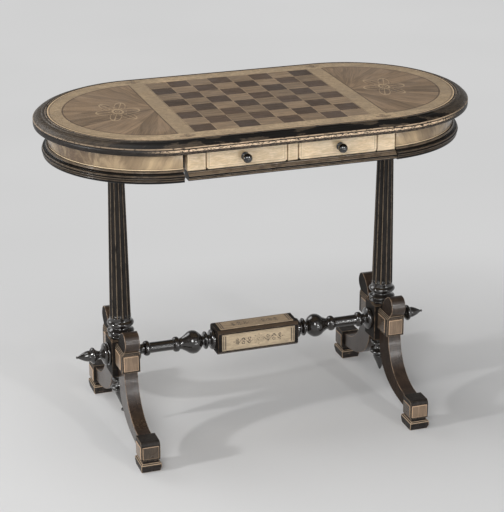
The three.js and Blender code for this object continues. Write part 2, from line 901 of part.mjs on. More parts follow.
function footShape() {
  const near = legReach + seat;
  const far = near + footDepth;
  const padNear = near - padSetBack;
  const padFar = padNear + padDepth;
  const [bevel, chamfer] = [padHeight / 2, neckHeight / 2];
  const blockFoot = padHeight + neckHeight;
  const [h, p] = [footHalf, padHalf];
  const levels = [
    [0, p - bevel / 6, padNear + chamfer, padFar - 2 * chamfer],
    [bevel, p, padNear, padFar],
    [padHeight - chamfer, p, padNear, padFar],
    [padHeight, p - chamfer, padNear + chamfer, padFar - chamfer],
    [padHeight, h - neckHeight / 2, near + chamfer / 2, far - chamfer],
    [blockFoot, h - neckHeight / 2, near + chamfer / 2, far - chamfer],
    [blockFoot, h, near, far],
    [footHeight - footRound, h, near, far],
    [footHeight - footRound / 3, h, near, far - footRound / 3],
    [footHeight, h, near, far - footRound],
  ];
  const margin = footRound / 2;
  const front = block(
    [-h + margin, h - margin],
    [far - margin, far + footPanel],
    [blockFoot + margin, footHeight - footRound - margin / 2],
  );
  const cheeks = block(
    [-h - footPanel, h + footPanel],
    [near + margin, far - margin],
    [blockFoot + margin, footHeight - footRound - margin / 2],
  );
  return join(stack(levels, 0), front, cheeks);
}

function buildLegs() {
  const leg = legShape();
  const foot = footShape();
  [
    ['front', -1],
    ['rear', 1],
  ].forEach(([place, way]) => {
    const turnedLeg = leg.clone().scale(1, way, 1).translate(columnX, 0, 0);
    const turnedFoot = foot.clone().scale(1, way, 1).translate(columnX, 0, 0);
    addPair(`leg_${place}`, turnedLeg, finishes.walnut);
    addPair(`foot_${place}`, turnedFoot, finishes.walnut);
  });
}

buildTop();
buildCase();
sides.forEach(([word, side]) => buildDrawer(word, side < 0));
addPair('case_hinge_leaf', hingeCaseLeaf(), finishes.brass, carcase);
buildEnd('left', -1, leftAjarDegrees);
buildEnd('right', 1, 0);
buildColumns();
buildPosts();
buildStretcher();
buildLegs();

export default table;
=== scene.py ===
"""A games table with an inlaid top: the fine surfaces and finishes around its fixed frame."""

import json
import math

import bmesh
import bpy
from mathutils import Matrix, Vector

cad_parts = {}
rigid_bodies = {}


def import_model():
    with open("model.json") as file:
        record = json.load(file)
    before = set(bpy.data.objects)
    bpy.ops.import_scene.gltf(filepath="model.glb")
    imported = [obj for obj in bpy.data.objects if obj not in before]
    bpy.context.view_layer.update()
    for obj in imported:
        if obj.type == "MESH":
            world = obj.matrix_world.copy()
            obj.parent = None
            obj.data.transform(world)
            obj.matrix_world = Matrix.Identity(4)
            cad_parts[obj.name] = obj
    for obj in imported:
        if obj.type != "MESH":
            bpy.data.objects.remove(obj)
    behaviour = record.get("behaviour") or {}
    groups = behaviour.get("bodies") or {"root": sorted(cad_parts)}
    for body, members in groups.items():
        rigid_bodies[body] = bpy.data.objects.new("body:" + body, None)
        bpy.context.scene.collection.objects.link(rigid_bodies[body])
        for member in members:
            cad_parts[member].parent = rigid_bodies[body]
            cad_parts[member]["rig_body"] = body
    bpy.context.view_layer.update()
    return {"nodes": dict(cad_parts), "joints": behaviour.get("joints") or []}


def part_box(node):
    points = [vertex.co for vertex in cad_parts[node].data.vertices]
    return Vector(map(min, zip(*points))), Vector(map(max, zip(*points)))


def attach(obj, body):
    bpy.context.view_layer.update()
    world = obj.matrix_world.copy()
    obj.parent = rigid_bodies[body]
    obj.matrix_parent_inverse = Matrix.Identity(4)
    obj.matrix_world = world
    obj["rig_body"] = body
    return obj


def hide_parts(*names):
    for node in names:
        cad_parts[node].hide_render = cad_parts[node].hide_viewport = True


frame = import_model()

bl_info = {
    "name": "Games Table",
    "version": (1, 0, 0),
    "blender": (4, 5, 0),
    "location": "View3D > Sidebar > Games Table",
    "description": "Builds the veneered top, the case and drawers, and the turned and scrolled stand",
    "category": "Add Mesh",
}

STAND = "stand_and_case"
SIDES = (("left", -1), ("right", 1))

# Sizes read from the frame, in metres
TOP_LOW, TOP_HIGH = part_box("top_edge_moulding")
TOP_RADIUS = TOP_HIGH.y
STRAIGHT_HALF = TOP_HIGH.x - TOP_RADIUS
CORE_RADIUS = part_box("border_band")[1].y
BOARD_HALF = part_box("chessboard_panel")[1].x
PANEL_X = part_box("end_panel_right")[0].x
PANEL_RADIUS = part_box("end_panel_right")[1].y
VENEER_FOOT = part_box("chessboard_panel")[0].z
FRIEZE_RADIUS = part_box("case_back")[1].y
CASE_LOW, CASE_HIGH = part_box("case_bottom")
CASE_MIDDLE = (CASE_LOW.x + CASE_HIGH.x) / 2
RUN_LOW, RUN_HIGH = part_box("base_moulding_front")
MOULDING_RADIUS = -RUN_LOW.y
MOULDING_INNER = -RUN_HIGH.y
END_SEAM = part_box("end_inner_side_right")[0].x
END_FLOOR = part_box("end_base_moulding_right")[1].z
END_MOULDING_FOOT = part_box("end_base_moulding_right")[0].z
END_WALL_FOOT, END_WALL_TOP = (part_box("end_frieze_right")[i].z for i in (0, 1))
POST_LOW, POST_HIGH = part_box("post_right")
COLUMN_X = (POST_LOW.x + POST_HIGH.x) / 2
LEG_LOW, LEG_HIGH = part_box("leg_front_right")
FOOT_LOW, FOOT_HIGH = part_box("foot_front_right")
BOX_LOW, BOX_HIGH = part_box("stretcher_box")
STRETCHER_Z = (BOX_LOW.z + BOX_HIGH.z) / 2
JOINTS = {joint["name"]: joint for joint in frame["joints"]}


def length(name, words, default, **more):
    return bpy.props.FloatProperty(name=name, description=words, default=default, unit="LENGTH", **more)


def share(name, words, default, **more):
    return bpy.props.FloatProperty(name=name, description=words, default=default, min=0, max=1, **more)


def count(name, words, default, **more):
    return bpy.props.IntProperty(name=name, description=words, default=default, min=1, **more)


def power(name, words, default):
    return bpy.props.FloatProperty(name=name, description=words, default=default, min=0, unit="POWER")


def colour(name, words, default):
    return bpy.props.FloatVectorProperty(
        name=name, description=words, default=default, subtype="COLOR", size=3, min=0, max=1
    )


class TopSettings(bpy.types.PropertyGroup):
    """Sizes of the veneered top"""

    squares: count("Squares", "Squares along one side of the board", 8)
    stringing: length("Stringing", "Width of the light lines between the squares", 0.0007)
    relief: length("Relief", "How far the stringing lies below the squares", 0.00012)
    edge_round: length("Edge rounding", "Rounding of the edge moulding's arrises", 0.0009)
    fan_wedges: count("Fan wedges", "Veneers in the fan of each end panel", 11)
    ornament: length("Ornament", "Radius of the inlaid leaf ornament in each end panel", 0.052)


class CaseSettings(bpy.types.PropertyGroup):
    """Sizes of the case, its drawers and its end compartments"""

    edge_round: length("Edge rounding", "Rounding of boards and drawer fronts", 0.0007)
    corner: length("Front corner", "Radius of a drawer front's lower corners", 0.006)
    line_inset: length("Line inset", "From a front's edge to its inlaid line", 0.0052)
    line: length("Line", "Width of the inlaid lines", 0.0011)
    hem: length("Hem", "Height of the light line along the frieze's lower edge", 0.0022)


class StandSettings(bpy.types.PropertyGroup):
    """Sizes of the columns, legs and stretcher"""

    flutes: count("Flutes", "Flutes round a column", 12)
    flute_depth: length("Flute depth", "Depth of a flute", 0.0027)
    fillet: share("Fillet", "Share of the girth left between two flutes", 0.2)
    shaft_foot: length("Shaft foot", "Radius of the shaft above its base", 0.0236)
    shaft_head: length("Shaft head", "Radius of the shaft under the case", 0.017)
    base_height: length("Base height", "Height of a column's turned base", 0.0455)
    base_radius: length("Base radius", "Radius of the base's largest ring", 0.03)
    flute_start: length("Flute start", "From the base to the rounded ends of the flutes", 0.003)
    leg_thickness: length("Leg thickness", "Thickness of a leg board", 0.0305)
    head_thickness: length("Head thickness", "Thickness of a leg's scrolled head", 0.033)
    knee_depth: length("Knee depth", "From the post to the face of the knee block", 0.0554)
    knee_half: length("Knee half width", "Half the width of the knee block", 0.0205)
    knee_foot: length("Knee foot", "Height of the knee block's lower end", 0.168)
    knee_head: length("Knee head", "Height of the knee block's upper end", 0.211)
    head_reach: length("Head reach", "Reach of the scrolled head beyond the post", 0.072)
    end_low: length("Leg end low", "Lower edge of the leg where it meets its foot", 0.036)
    end_high: length("Leg end high", "Upper edge of the leg where it meets its foot", 0.066)
    panel: length("Panel", "How far a raised panel stands proud", 0.0016)
    ball: length("Pendant ball", "Radius of the ball under the left pendant", 0.0045)
    edge_round: length("Edge rounding", "Rounding of the stand's edges", 0.0011)


class FinishSettings(bpy.types.PropertyGroup):
    """Colours of the woods and of the studio"""

    ebony: colour("Ebonized", "Black polished wood", (0.0125, 0.0102, 0.0088))
    ebony_worn: colour("Ebonized, worn", "Wood where the black has rubbed off", (0.27, 0.20, 0.135))
    walnut: colour("Walnut", "Dark polished wood of the legs", (0.0215, 0.0135, 0.009))
    walnut_light: colour("Walnut, light", "Lighter streaks and panels of the legs", (0.20, 0.135, 0.085))
    maple: colour("Maple", "Pale veneer of the drawer fronts", (0.60, 0.47, 0.31))
    maple_dark: colour("Maple, dark", "Darker figure of the pale veneer", (0.47, 0.35, 0.21))
    flame: colour("Flame", "Lighter stripes of the curved friezes", (0.40, 0.29, 0.17))
    flame_dark: colour("Flame, dark", "Darker stripes of the curved friezes", (0.115, 0.072, 0.040))
    band: colour("Border", "Burr veneer round the top", (0.50, 0.365, 0.225))
    square_light: colour("Light square", "Light squares of the board", (0.250, 0.176, 0.110))
    square_dark: colour("Dark square", "Dark squares of the board", (0.090, 0.058, 0.038))
    fan: colour("Fan", "Veneer of the end panels", (0.245, 0.168, 0.104))
    pine: colour("Pine", "Bare wood inside", (0.50, 0.37, 0.22))
    brass: colour("Brass", "Hinges", (0.50, 0.36, 0.15))
    backdrop: colour("Backdrop", "Floor and background", (0.635, 0.635, 0.635))


class StudioSettings(bpy.types.PropertyGroup):
    """The lights and the room"""

    side: power("Side light", "Low light from the left that throws the shadows of the legs", 62)
    overhead: power("Overhead light", "Large soft light above", 112)
    front: power("Front light", "Small light from the right that gives the glints", 40)
    panel: power("Panel light", "Tall dim panel that the polish mirrors", 38)
    low: power("Low light", "Thin strip near the floor that gives the bright lines", 10)
    fill: power("Fill light", "Soft light from the left of the camera", 150)
    back: power("Back light", "Soft light behind the table", 55)
    room: share("Room", "Light of the dim room round the stage", 0.12)
    shadow_reach: length("Shadow reach", "Depth of the floor round the table that shows shadows", 0.4)
    wall_pale: length("Pale wall", "Height up to which the backdrop's wall is seen pale", 2.0)
    wall_dark: length("Dark wall", "Height from which the backdrop's wall is seen in the room's shade", 4.0)
    paper_glow: share("Paper glow", "How even the floor looks close to the table", 0.06)


# Nodes of shaders and geometry


def is_socket(value):
    return isinstance(value, bpy.types.NodeSocket)


def set_input(socket, value):
    """Links another node's socket to an input, or gives the input a plain value."""
    if is_socket(value):
        value.id_data.links.new(value, socket)
    else:
        socket.default_value = value


def add_node(kind, inputs, tree=None, **settings):
    """Adds one node. Where no tree is given, it joins the tree that its linked inputs belong to."""
    if tree is None:
        tree = next(value.id_data for value in inputs.values() if is_socket(value))
    made = tree.nodes.new(kind)
    for name, value in settings.items():
        setattr(made, name, value)
    for name, value in inputs.items():
        set_input(made.inputs[name], value)
    return made


def maths(operation, *values):
    return add_node("ShaderNodeMath", dict(enumerate(values)), operation=operation).outputs[0]


def plus(a, b):
    return maths("ADD", a, b)


def minus(a, b):
    return maths("SUBTRACT", a, b)


def times(a, b):
    return maths("MULTIPLY", a, b)


def over(a, b):
    return maths("DIVIDE", a, b)


def times_plus(value, by, more):
    return maths("MULTIPLY_ADD", value, by, more)


def unsigned(value):
    return maths("ABSOLUTE", value)


def both(a, b):
    """Where two masks overlap."""
    return times(a, b)


def either(a, b):
    """Where one mask or the other lies."""
    return maths("MAXIMUM", a, b)


def vector_maths(operation, *values):
    return add_node("ShaderNodeVectorMath", dict(enumerate(values)), operation=operation).outputs["Vector"]


def stretched(vector, by):
    return vector_maths("MULTIPLY", vector, by)


def distance(vector):
    """How far a point lies from the origin."""
    return add_node("ShaderNodeVectorMath", {0: vector}, operation="LENGTH").outputs["Value"]


def between(value, low, high, to_low=0.0, to_high=1.0):
    """Goes smoothly from one result to the other as a value goes from low to high."""
    values = {0: value, 1: low, 2: high, 3: to_low, 4: to_high}
    return add_node("ShaderNodeMapRange", values, interpolation_type="SMOOTHSTEP").outputs[0]


def blended(share_of_b, a, b, way="MIX"):
    """Mixes two colours, each a socket or plain values."""
    tones = [tone if is_socket(tone) else (*tone[:3], 1) for tone in (a, b)]
    values = {0: share_of_b, 6: tones[0], 7: tones[1]}
    return add_node("ShaderNodeMix", values, data_type="RGBA", blend_type=way).outputs[2]


def shaded(base, factor):
    """Makes a colour darker or lighter."""
    return blended(1.0, base, joined(factor, factor, factor), "MULTIPLY")


def split(vector):
    return add_node("ShaderNodeSeparateXYZ", {0: vector}).outputs


def joined(x, y, z=0.0):
    return add_node("ShaderNodeCombineXYZ", {0: x, 1: y, 2: z}).outputs[0]


def noise(vector, scale, detail=4.0, roughness=0.55, distortion=0.0):
    values = {"Vector": vector, "Scale": scale, "Detail": detail, "Roughness": roughness}
    values["Distortion"] = distortion
    return add_node("ShaderNodeTexNoise", values).outputs[0]


def line_mask(value, at, width):
    """One on a line where the value passes the given place, and nought off it."""
    return between(unsigned(minus(value, at)), width * 0.35, width * 0.65, 1.0, 0.0)


def own_value(place, name):
    """Reads a piece's own attribute."""
    return add_node("ShaderNodeAttribute", {}, place.id_data, attribute_name=name).outputs["Fac"]


def shader_group(name, inputs, outputs, build):
    """A node group with named sockets, built once."""
    group = bpy.data.node_groups.get(name)
    if group:
        return group
    group = bpy.data.node_groups.new(name, "ShaderNodeTree")
    for socket, kind, default in inputs:
        made = group.interface.new_socket(socket, in_out="INPUT", socket_type=kind)
        if default is not None:
            made.default_value = default
    for socket in outputs:
        group.interface.new_socket(socket, in_out="OUTPUT", socket_type="NodeSocketFloat")
    given = group.nodes.new("NodeGroupInput").outputs
    results = build(given)
    gathered = group.nodes.new("NodeGroupOutput")
    for socket in outputs:
        group.links.new(results[socket], gathered.inputs[socket])
    return group


def use_group(group, **values):
    """Places a node group, with its inputs given by their names."""
    inputs = {name.replace("_", " ").capitalize(): value for name, value in values.items()}
    return add_node("ShaderNodeGroup", inputs, node_tree=group).outputs


VECTOR, FLOAT = "NodeSocketVector", "NodeSocketFloat"


def grain_group():
    """Figure, fine fibres and drawn-out lines of wood that runs along X."""

    def build(given):
        x, y, z = split(given["Vector"])
        across = times(given["Scale"], given["Stretch"])
        drawn = joined(times(x, given["Scale"]), times(y, across), times(z, across))
        figure = noise(drawn, 1.0, 5.0, 0.6, 0.7)
        fibre = noise(stretched(drawn, (3.0, 9.0, 9.0)), 1.0, 3.0, 0.6)
        bent = times_plus(figure, 2.2, times(y, times(across, 0.55)))
        lines = maths("PINGPONG", times_plus(fibre, 0.25, bent), 0.5)
        return {
            "Figure": between(figure, 0.32, 0.68),
            "Fibre": between(fibre, 0.3, 0.72),
            "Lines": between(lines, 0.02, 0.2, 1.0, 0.0),
        }

    inputs = (("Vector", VECTOR, None), ("Scale", FLOAT, 20.0), ("Stretch", FLOAT, 8.0))
    return shader_group("Wood grain", inputs, ("Figure", "Fibre", "Lines"), build)


def patina_group():
    """Slow clouds of tone, small specks and thin scratches of an old polish."""

    def build(given):
        cloud = noise(given["Vector"], given["Scale"], 3.0, 0.55, 0.3)
        speck = noise(given["Vector"], times(given["Scale"], 26.0), 2.0)
        drawn = stretched(given["Vector"], (1.0, 14.0, 5.0))
        scratch = noise(drawn, times(given["Scale"], 5.0), 2.0, 0.5, 0.6)
        return {
            "Cloud": between(cloud, 0.32, 0.68),
            "Speck": between(speck, 0.66, 0.74),
            "Scratch": between(scratch, 0.69, 0.73),
        }

    inputs = (("Vector", VECTOR, None), ("Scale", FLOAT, 12.0))
    return shader_group("Old polish", inputs, ("Cloud", "Speck", "Scratch"), build)


def wear_group():
    """Where the polish has rubbed off the edges, broken up by noise."""

    def build(given):
        broken = noise(given["Vector"], given["Scale"], 4.0, 0.65, 0.4)
        pushed = plus(given["Amount"], times_plus(broken, 1.6, -0.8))
        return {"Mask": between(both(given["Edge"], pushed), 0.3, 0.75)}

    inputs = (("Edge", FLOAT, 0.0), ("Vector", VECTOR, None), ("Scale", FLOAT, 60.0))
    return shader_group("Rubbed edges", (*inputs, ("Amount", FLOAT, 0.6)), ("Mask",), build)


def frame_line_group():
    """A thin line that runs round inside a rectangle about the origin, and what lies inside it."""

    def build(given):
        x, y, _ = split(given["Vector"])
        halves = ((x, given["Half width"]), (y, given["Half height"]))
        reach = either(*(minus(unsigned(part), minus(half, given["Inset"])) for part, half in halves))
        half_line = times(given["Line"], 0.5)
        away = over(unsigned(reach), half_line)
        return {
            "Line": between(away, 0.7, 1.3, 1.0, 0.0),
            "Inside": between(over(reach, half_line), -0.5, 0.5, 1.0, 0.0),
        }

    inputs = (
        ("Vector", VECTOR, None),
        ("Half width", FLOAT, 0.05),
        ("Half height", FLOAT, 0.02),
        ("Inset", FLOAT, 0.004),
        ("Line", FLOAT, 0.001),
    )
    return shader_group("Frame line", inputs, ("Line", "Inside"), build)


def leaf_group():
    """A round of leaves about the origin, with a thinner ring and veins, and its outline."""

    def build(given):
        x, y, _ = split(given["Vector"])
        turn = maths("ARCTAN2", y, x)
        out = over(distance(given["Vector"]), given["Radius"])
        laps = times(turn, given["Leaves"])
        gap = minus(out, times_plus(unsigned(maths("COSINE", laps)), 0.62, 0.36))
        vein = maths("SINE", laps)
        veins = both(between(unsigned(vein), 0.03, 0.12, 1.0, 0.0), between(out, 0.2, 0.3))
        outline = between(unsigned(gap), 0.015, 0.05, 1.0, 0.0)
        ring = line_mask(out, 0.22, 0.09)
        inside = between(gap, -0.04, 0.02, 1.0, 0.0)
        return {
            "Leaf": inside,
            "Outline": either(either(outline, ring), both(veins, inside)),
        }

    inputs = (("Vector", VECTOR, None), ("Radius", FLOAT, 0.05), ("Leaves", FLOAT, 4.0))
    return shader_group("Leaf round", inputs, ("Leaf", "Outline"), build)


COAT_ROUGHNESS = 0.16
BUMP_STRENGTH = 0.6


def new_material(name, roughness, coat=0.0, metallic=0.0, sheen=0.5):
    """A material with its shader and the object coordinates."""
    material = bpy.data.materials.new(name)
    material.use_nodes = True
    tree = material.node_tree
    shader = tree.nodes["Principled BSDF"]
    values = {
        "Roughness": roughness, "Metallic": metallic, "Coat Weight": coat, "Coat Roughness": COAT_ROUGHNESS,
        "Specular IOR Level": sheen,
    }
    for socket, value in values.items():
        shader.inputs[socket].default_value = value
    return material, shader, tree.nodes.new("ShaderNodeTexCoord").outputs["Object"]


def along(place, axis):
    """The coordinates with the grain's axis put first."""
    x, y, z = split(place)
    return joined(*{"X": (x, y, z), "Y": (y, x, z), "Z": (z, x, y)}[axis])


def worn_edges(place, amount, scale=60.0):
    """Where the polish is off, from the piece's own wear."""
    values = {"edge": own_value(place, "wear"), "vector": place, "amount": amount, "scale": scale}
    return use_group(wear_group(), **values)["Mask"]


def finish_surface(shader, base, roughness, height, depth):
    """Feeds the colour, the roughness and the bump of a finished surface."""
    bump = add_node("ShaderNodeBump", {"Height": height, "Distance": depth, "Strength": BUMP_STRENGTH})
    for socket, value in (("Base Color", base), ("Roughness", roughness), ("Normal", bump.outputs[0])):
        set_input(shader.inputs[socket], value)


def wood(
    name, dark, light, axis="X", scale=14.0, stretch=8.0, rough=0.36, coat=0.25, worn=None, amount=0.0,
    line_share=0.25, cover=None, bump=0.0003, scratches=0.08, sheen=0.5,
):
    """A polished wood. Cover lays inlay or other paint over its colour before the wear."""
    material, shader, place = new_material(name, rough, coat, sheen=sheen)
    grain = use_group(grain_group(), vector=along(place, axis), scale=scale, stretch=stretch)
    polish = use_group(patina_group(), vector=place, scale=11.0)
    base = blended(grain["Figure"], dark, light)
    base = blended(both(grain["Lines"], line_share), base, dark)
    base = shaded(base, between(grain["Fibre"], 0.0, 1.0, 0.86, 1.08))
    base = shaded(base, between(polish["Cloud"], 0.0, 1.0, 0.88, 1.1))
    if cover:
        base = cover(place, base)
    rough_now = times_plus(polish["Cloud"], rough * 0.25, rough * 0.85)
    rough_now = times_plus(polish["Speck"], rough * 0.2, rough_now)
    if worn:
        rubbed = worn_edges(place, amount)
        base = blended(either(rubbed, both(polish["Scratch"], scratches)), base, worn)
        rough_now = times_plus(rubbed, 0.22, rough_now)
    finish_surface(shader, base, rough_now, times_plus(polish["Scratch"], -0.5, grain["Fibre"]), bump)
    return material


TOP_SHEEN = 0.22
DULL_SHEEN = 0.12
MADE = {}


def material_of(name, make, *args, **kwargs):
    """Makes each material once."""
    if name not in MADE:
        MADE[name] = make(name, *args, **kwargs)
    return MADE[name]


def finishes():
    return bpy.context.scene.table_finishes


def scaled(tone, by):
    return tuple(min(1.0, part * by) for part in tone[:3])


# The woods: which colour each starts from, its darker and lighter share, the colour and share of its
# worn edges, and the rest of its values
WOODS = {
    "Ebonized": (
        ("ebony", 0.8, 1.4), ("ebony_worn", 0.7),
        dict(scale=18.0, stretch=9.0, rough=0.14, coat=0.6, amount=0.3, line_share=0.2, bump=0.00003,
             scratches=0.04, sheen=0.6),
    ),
    # Ebonized blocks are rubbed through at their edges
    "Ebonized block": (
        ("ebony", 1.0, 2.6), ("ebony_worn", 1.35),
        dict(scale=26.0, stretch=6.0, rough=0.5, coat=0.0, amount=0.9, line_share=0.2, bump=0.0001,
             scratches=0.3, sheen=0.2),
    ),
    "Knob black": (
        ("ebony", 0.2, 0.35), ("ebony_worn", 0.5),
        dict(scale=18.0, stretch=9.0, rough=0.12, coat=1.0, amount=0.2, line_share=0.2, bump=0.00002,
             scratches=0.0),
    ),
    # The fluted shafts are rubbed along the whole length of their arrises, and the lighter arrises are
    # partly painted highlight
    "Rubbed arrises": (
        ("ebony", 0.5, 1.3), ("ebony_worn", 0.48),
        dict(scale=18.0, stretch=9.0, rough=0.22, coat=0.08, amount=0.85, line_share=0.2, bump=0.0001,
             sheen=0.2),
    ),
    "Walnut": (
        ("walnut", 1.1, 2.3), ("walnut_light", 1.3),
        dict(scale=16.0, stretch=9.0, rough=0.32, coat=0.3, amount=0.6, line_share=0.4, bump=0.00006,
             scratches=0.05),
    ),
    # Its edges are rubbed pale all round, and the pale edges also stand in for the highlights on their
    # bevels: painted highlight
    "Walnut panel": (
        ("walnut_light", 0.82, 1.25), ("walnut_light", 2.6),
        dict(scale=22.0, stretch=7.0, rough=0.32, coat=0.4, amount=1.0, line_share=0.3),
    ),
    "Darkened panel": (
        ("walnut_light", 0.22, 0.42), ("walnut_light", 1.8),
        dict(scale=22.0, stretch=7.0, rough=0.3, coat=0.3, amount=0.8, line_share=0.35),
    ),
    # The polish has gone dull on the posts, the stretcher box and the sides of the scrolled heads
    "Dull black": (
        ("ebony", 0.7, 1.4), ("walnut_light", 0.8),
        dict(scale=18.0, stretch=9.0, rough=0.6, coat=0.0, amount=0.5, sheen=DULL_SHEEN),
    ),
    # The side of the right front leg is browner than the posts, and painted darker than the other legs'
    # sides as shade
    "Dull brown": (
        ("walnut", 0.75, 1.5), ("walnut_light", 0.8),
        dict(scale=18.0, stretch=9.0, rough=0.6, coat=0.0, amount=0.5, sheen=DULL_SHEEN),
    ),
    # The box's chamfers are a brown strip between dark lines
    "Box chamfer": (
        ("walnut_light", 0.22, 0.36), ("ebony", 1.0),
        dict(scale=24.0, stretch=7.0, rough=0.34, coat=0.1, amount=0.9, line_share=0.35, bump=0.0001,
             sheen=0.3),
    ),
    # The inner sides that show in the seams are darkened: painted shade
    "Inner walnut": (
        ("walnut", 0.4, 0.8), None,
        dict(scale=16.0, stretch=9.0, rough=0.5, coat=0.0, sheen=0.2),
    ),
    "Pine": (
        ("pine", 0.8, 1.0), ("pine", 0.6),
        dict(scale=9.0, stretch=11.0, rough=0.62, coat=0.0, amount=0.35, line_share=0.45, bump=0.0004),
    ),
    "Stringing": (("band", 1.2, 1.5), None, dict(scale=20.0, stretch=6.0)),
}


def timber(kind, axis="Z"):
    """One of the woods, with its grain along an axis."""
    (tone, dark, light), rubbed, values = WOODS[kind]
    tones = [scaled(getattr(finishes(), tone), by) for by in (dark, light)]
    worn = scaled(getattr(finishes(), rubbed[0]), rubbed[1]) if rubbed else None
    return material_of(f"{kind}, grain along {axis}", wood, *tones, axis, worn=worn, **values)


# Light lines and black grooves of the base moulding, as a height share, a width share and a strength. The
# light lines are partly rubbed fillets and beads and partly painted highlights on the rounds; the black
# grooves are painted shade in the hollows
MOULDING_RUBS_AND_HIGHLIGHTS = (
    (0.965, 0.07, 0.62), (0.735, 0.08, 0.5), (0.635, 0.12, 0.36), (0.4, 0.09, 0.46), (0.15, 0.09, 0.34),
)
MOULDING_GROOVE_SHADE = ((0.865, 0.1, 0.9), (0.51, 0.12, 0.97), (0.275, 0.13, 0.97), (0.02, 0.12, 0.95))

# The straight front moulding is rubbed grey above, with lighter lines that are partly painted highlight, and
# has two coves below painted black as shade
FRONT_RUBS_AND_HIGHLIGHTS = (
    (0.965, 0.06, 0.6), (0.8, 0.24, 0.72), (0.66, 0.08, 0.8), (0.335, 0.11, 0.66), (0.1, 0.1, 0.62),
)
FRONT_GROOVE_SHADE = ((0.5, 0.19, 0.98), (0.22, 0.12, 0.98), (0.0, 0.06, 0.95))


# How near a cut end the black of the moulding's end grain starts
CUT_FADE = 0.0004


def moulding_finish(name, foot, top, cut, rub, lights=MOULDING_RUBS_AND_HIGHLIGHTS, grooves=MOULDING_GROOVE_SHADE):
    """A base moulding: black, with lighter lines along its fillets and beads, partly rubbed and partly
    painted highlight, and grooves painted black as shade.
    """
    f = finishes()

    def lined(place, base):
        x, _, z = split(place)
        up = between(z, foot, top)
        # The cut ends stay black
        whole = between(unsigned(minus(x, CASE_MIDDLE)), cut, cut - CUT_FADE)
        specks = noise(stretched(place, (0.35, 0.35, 1.0)), 190.0, 3.0, 0.6)
        kept = both(between(specks, 0.34, 0.56, 0.45, 1.0), whole)
        # The lighter lines: rubbed wear and painted highlights
        for at, width, strength in lights:
            line = both(line_mask(up, at, width), times(kept, strength * rub))
            base = blended(line, base, scaled(f.ebony_worn, 0.75))
        # The grooves: painted shade
        for at, width, strength in grooves:
            base = blended(both(line_mask(up, at, width), strength), base, scaled(f.ebony, 0.25))
        return base

    return wood(
        name, scaled(f.ebony, 0.7), scaled(f.ebony, 1.3), scale=18.0, stretch=9.0, rough=0.3, coat=0.05,
        worn=scaled(f.ebony_worn, 0.5), amount=0.25, line_share=0.2, cover=lined, bump=0.00005,
        scratches=0.05, sheen=0.16,
    )


def aged_brass(name):
    f = finishes()
    material, shader, place = new_material(name, 0.34, metallic=1.0)
    polish = use_group(patina_group(), vector=place, scale=60.0)
    base = blended(polish["Cloud"], f.brass, scaled(f.brass, 0.45))
    rough = times_plus(polish["Cloud"], 0.2, 0.28)
    finish_surface(shader, base, rough, polish["Scratch"], 0.0001)
    return material


# The top's edge moulding, in metres. Its front fades in over two places along Y, and is rubbed within a
# distance of a point along X
EDGE_FRONT = (-0.16, -0.235)
EDGE_RUB_MIDDLE = 0.045
EDGE_RUB = (0.37, 0.27)
# Depths below the top at which its bare band starts and ends, and those that the lines on top reach to
EDGE_BAND = (0.0146, 0.0152)
EDGE_FOOT = 0.0196
EDGE_TOP = (0.003, 0.002)
# Place and width of its light and dark lines. The light line on the arris is partly a painted highlight
EDGE_ARRIS_RUB_AND_HIGHLIGHT = (0.0114, 0.0021)
EDGE_BEAD = (0.0042, 0.0024)
EDGE_JOINT = (0.0009, 0.0018)


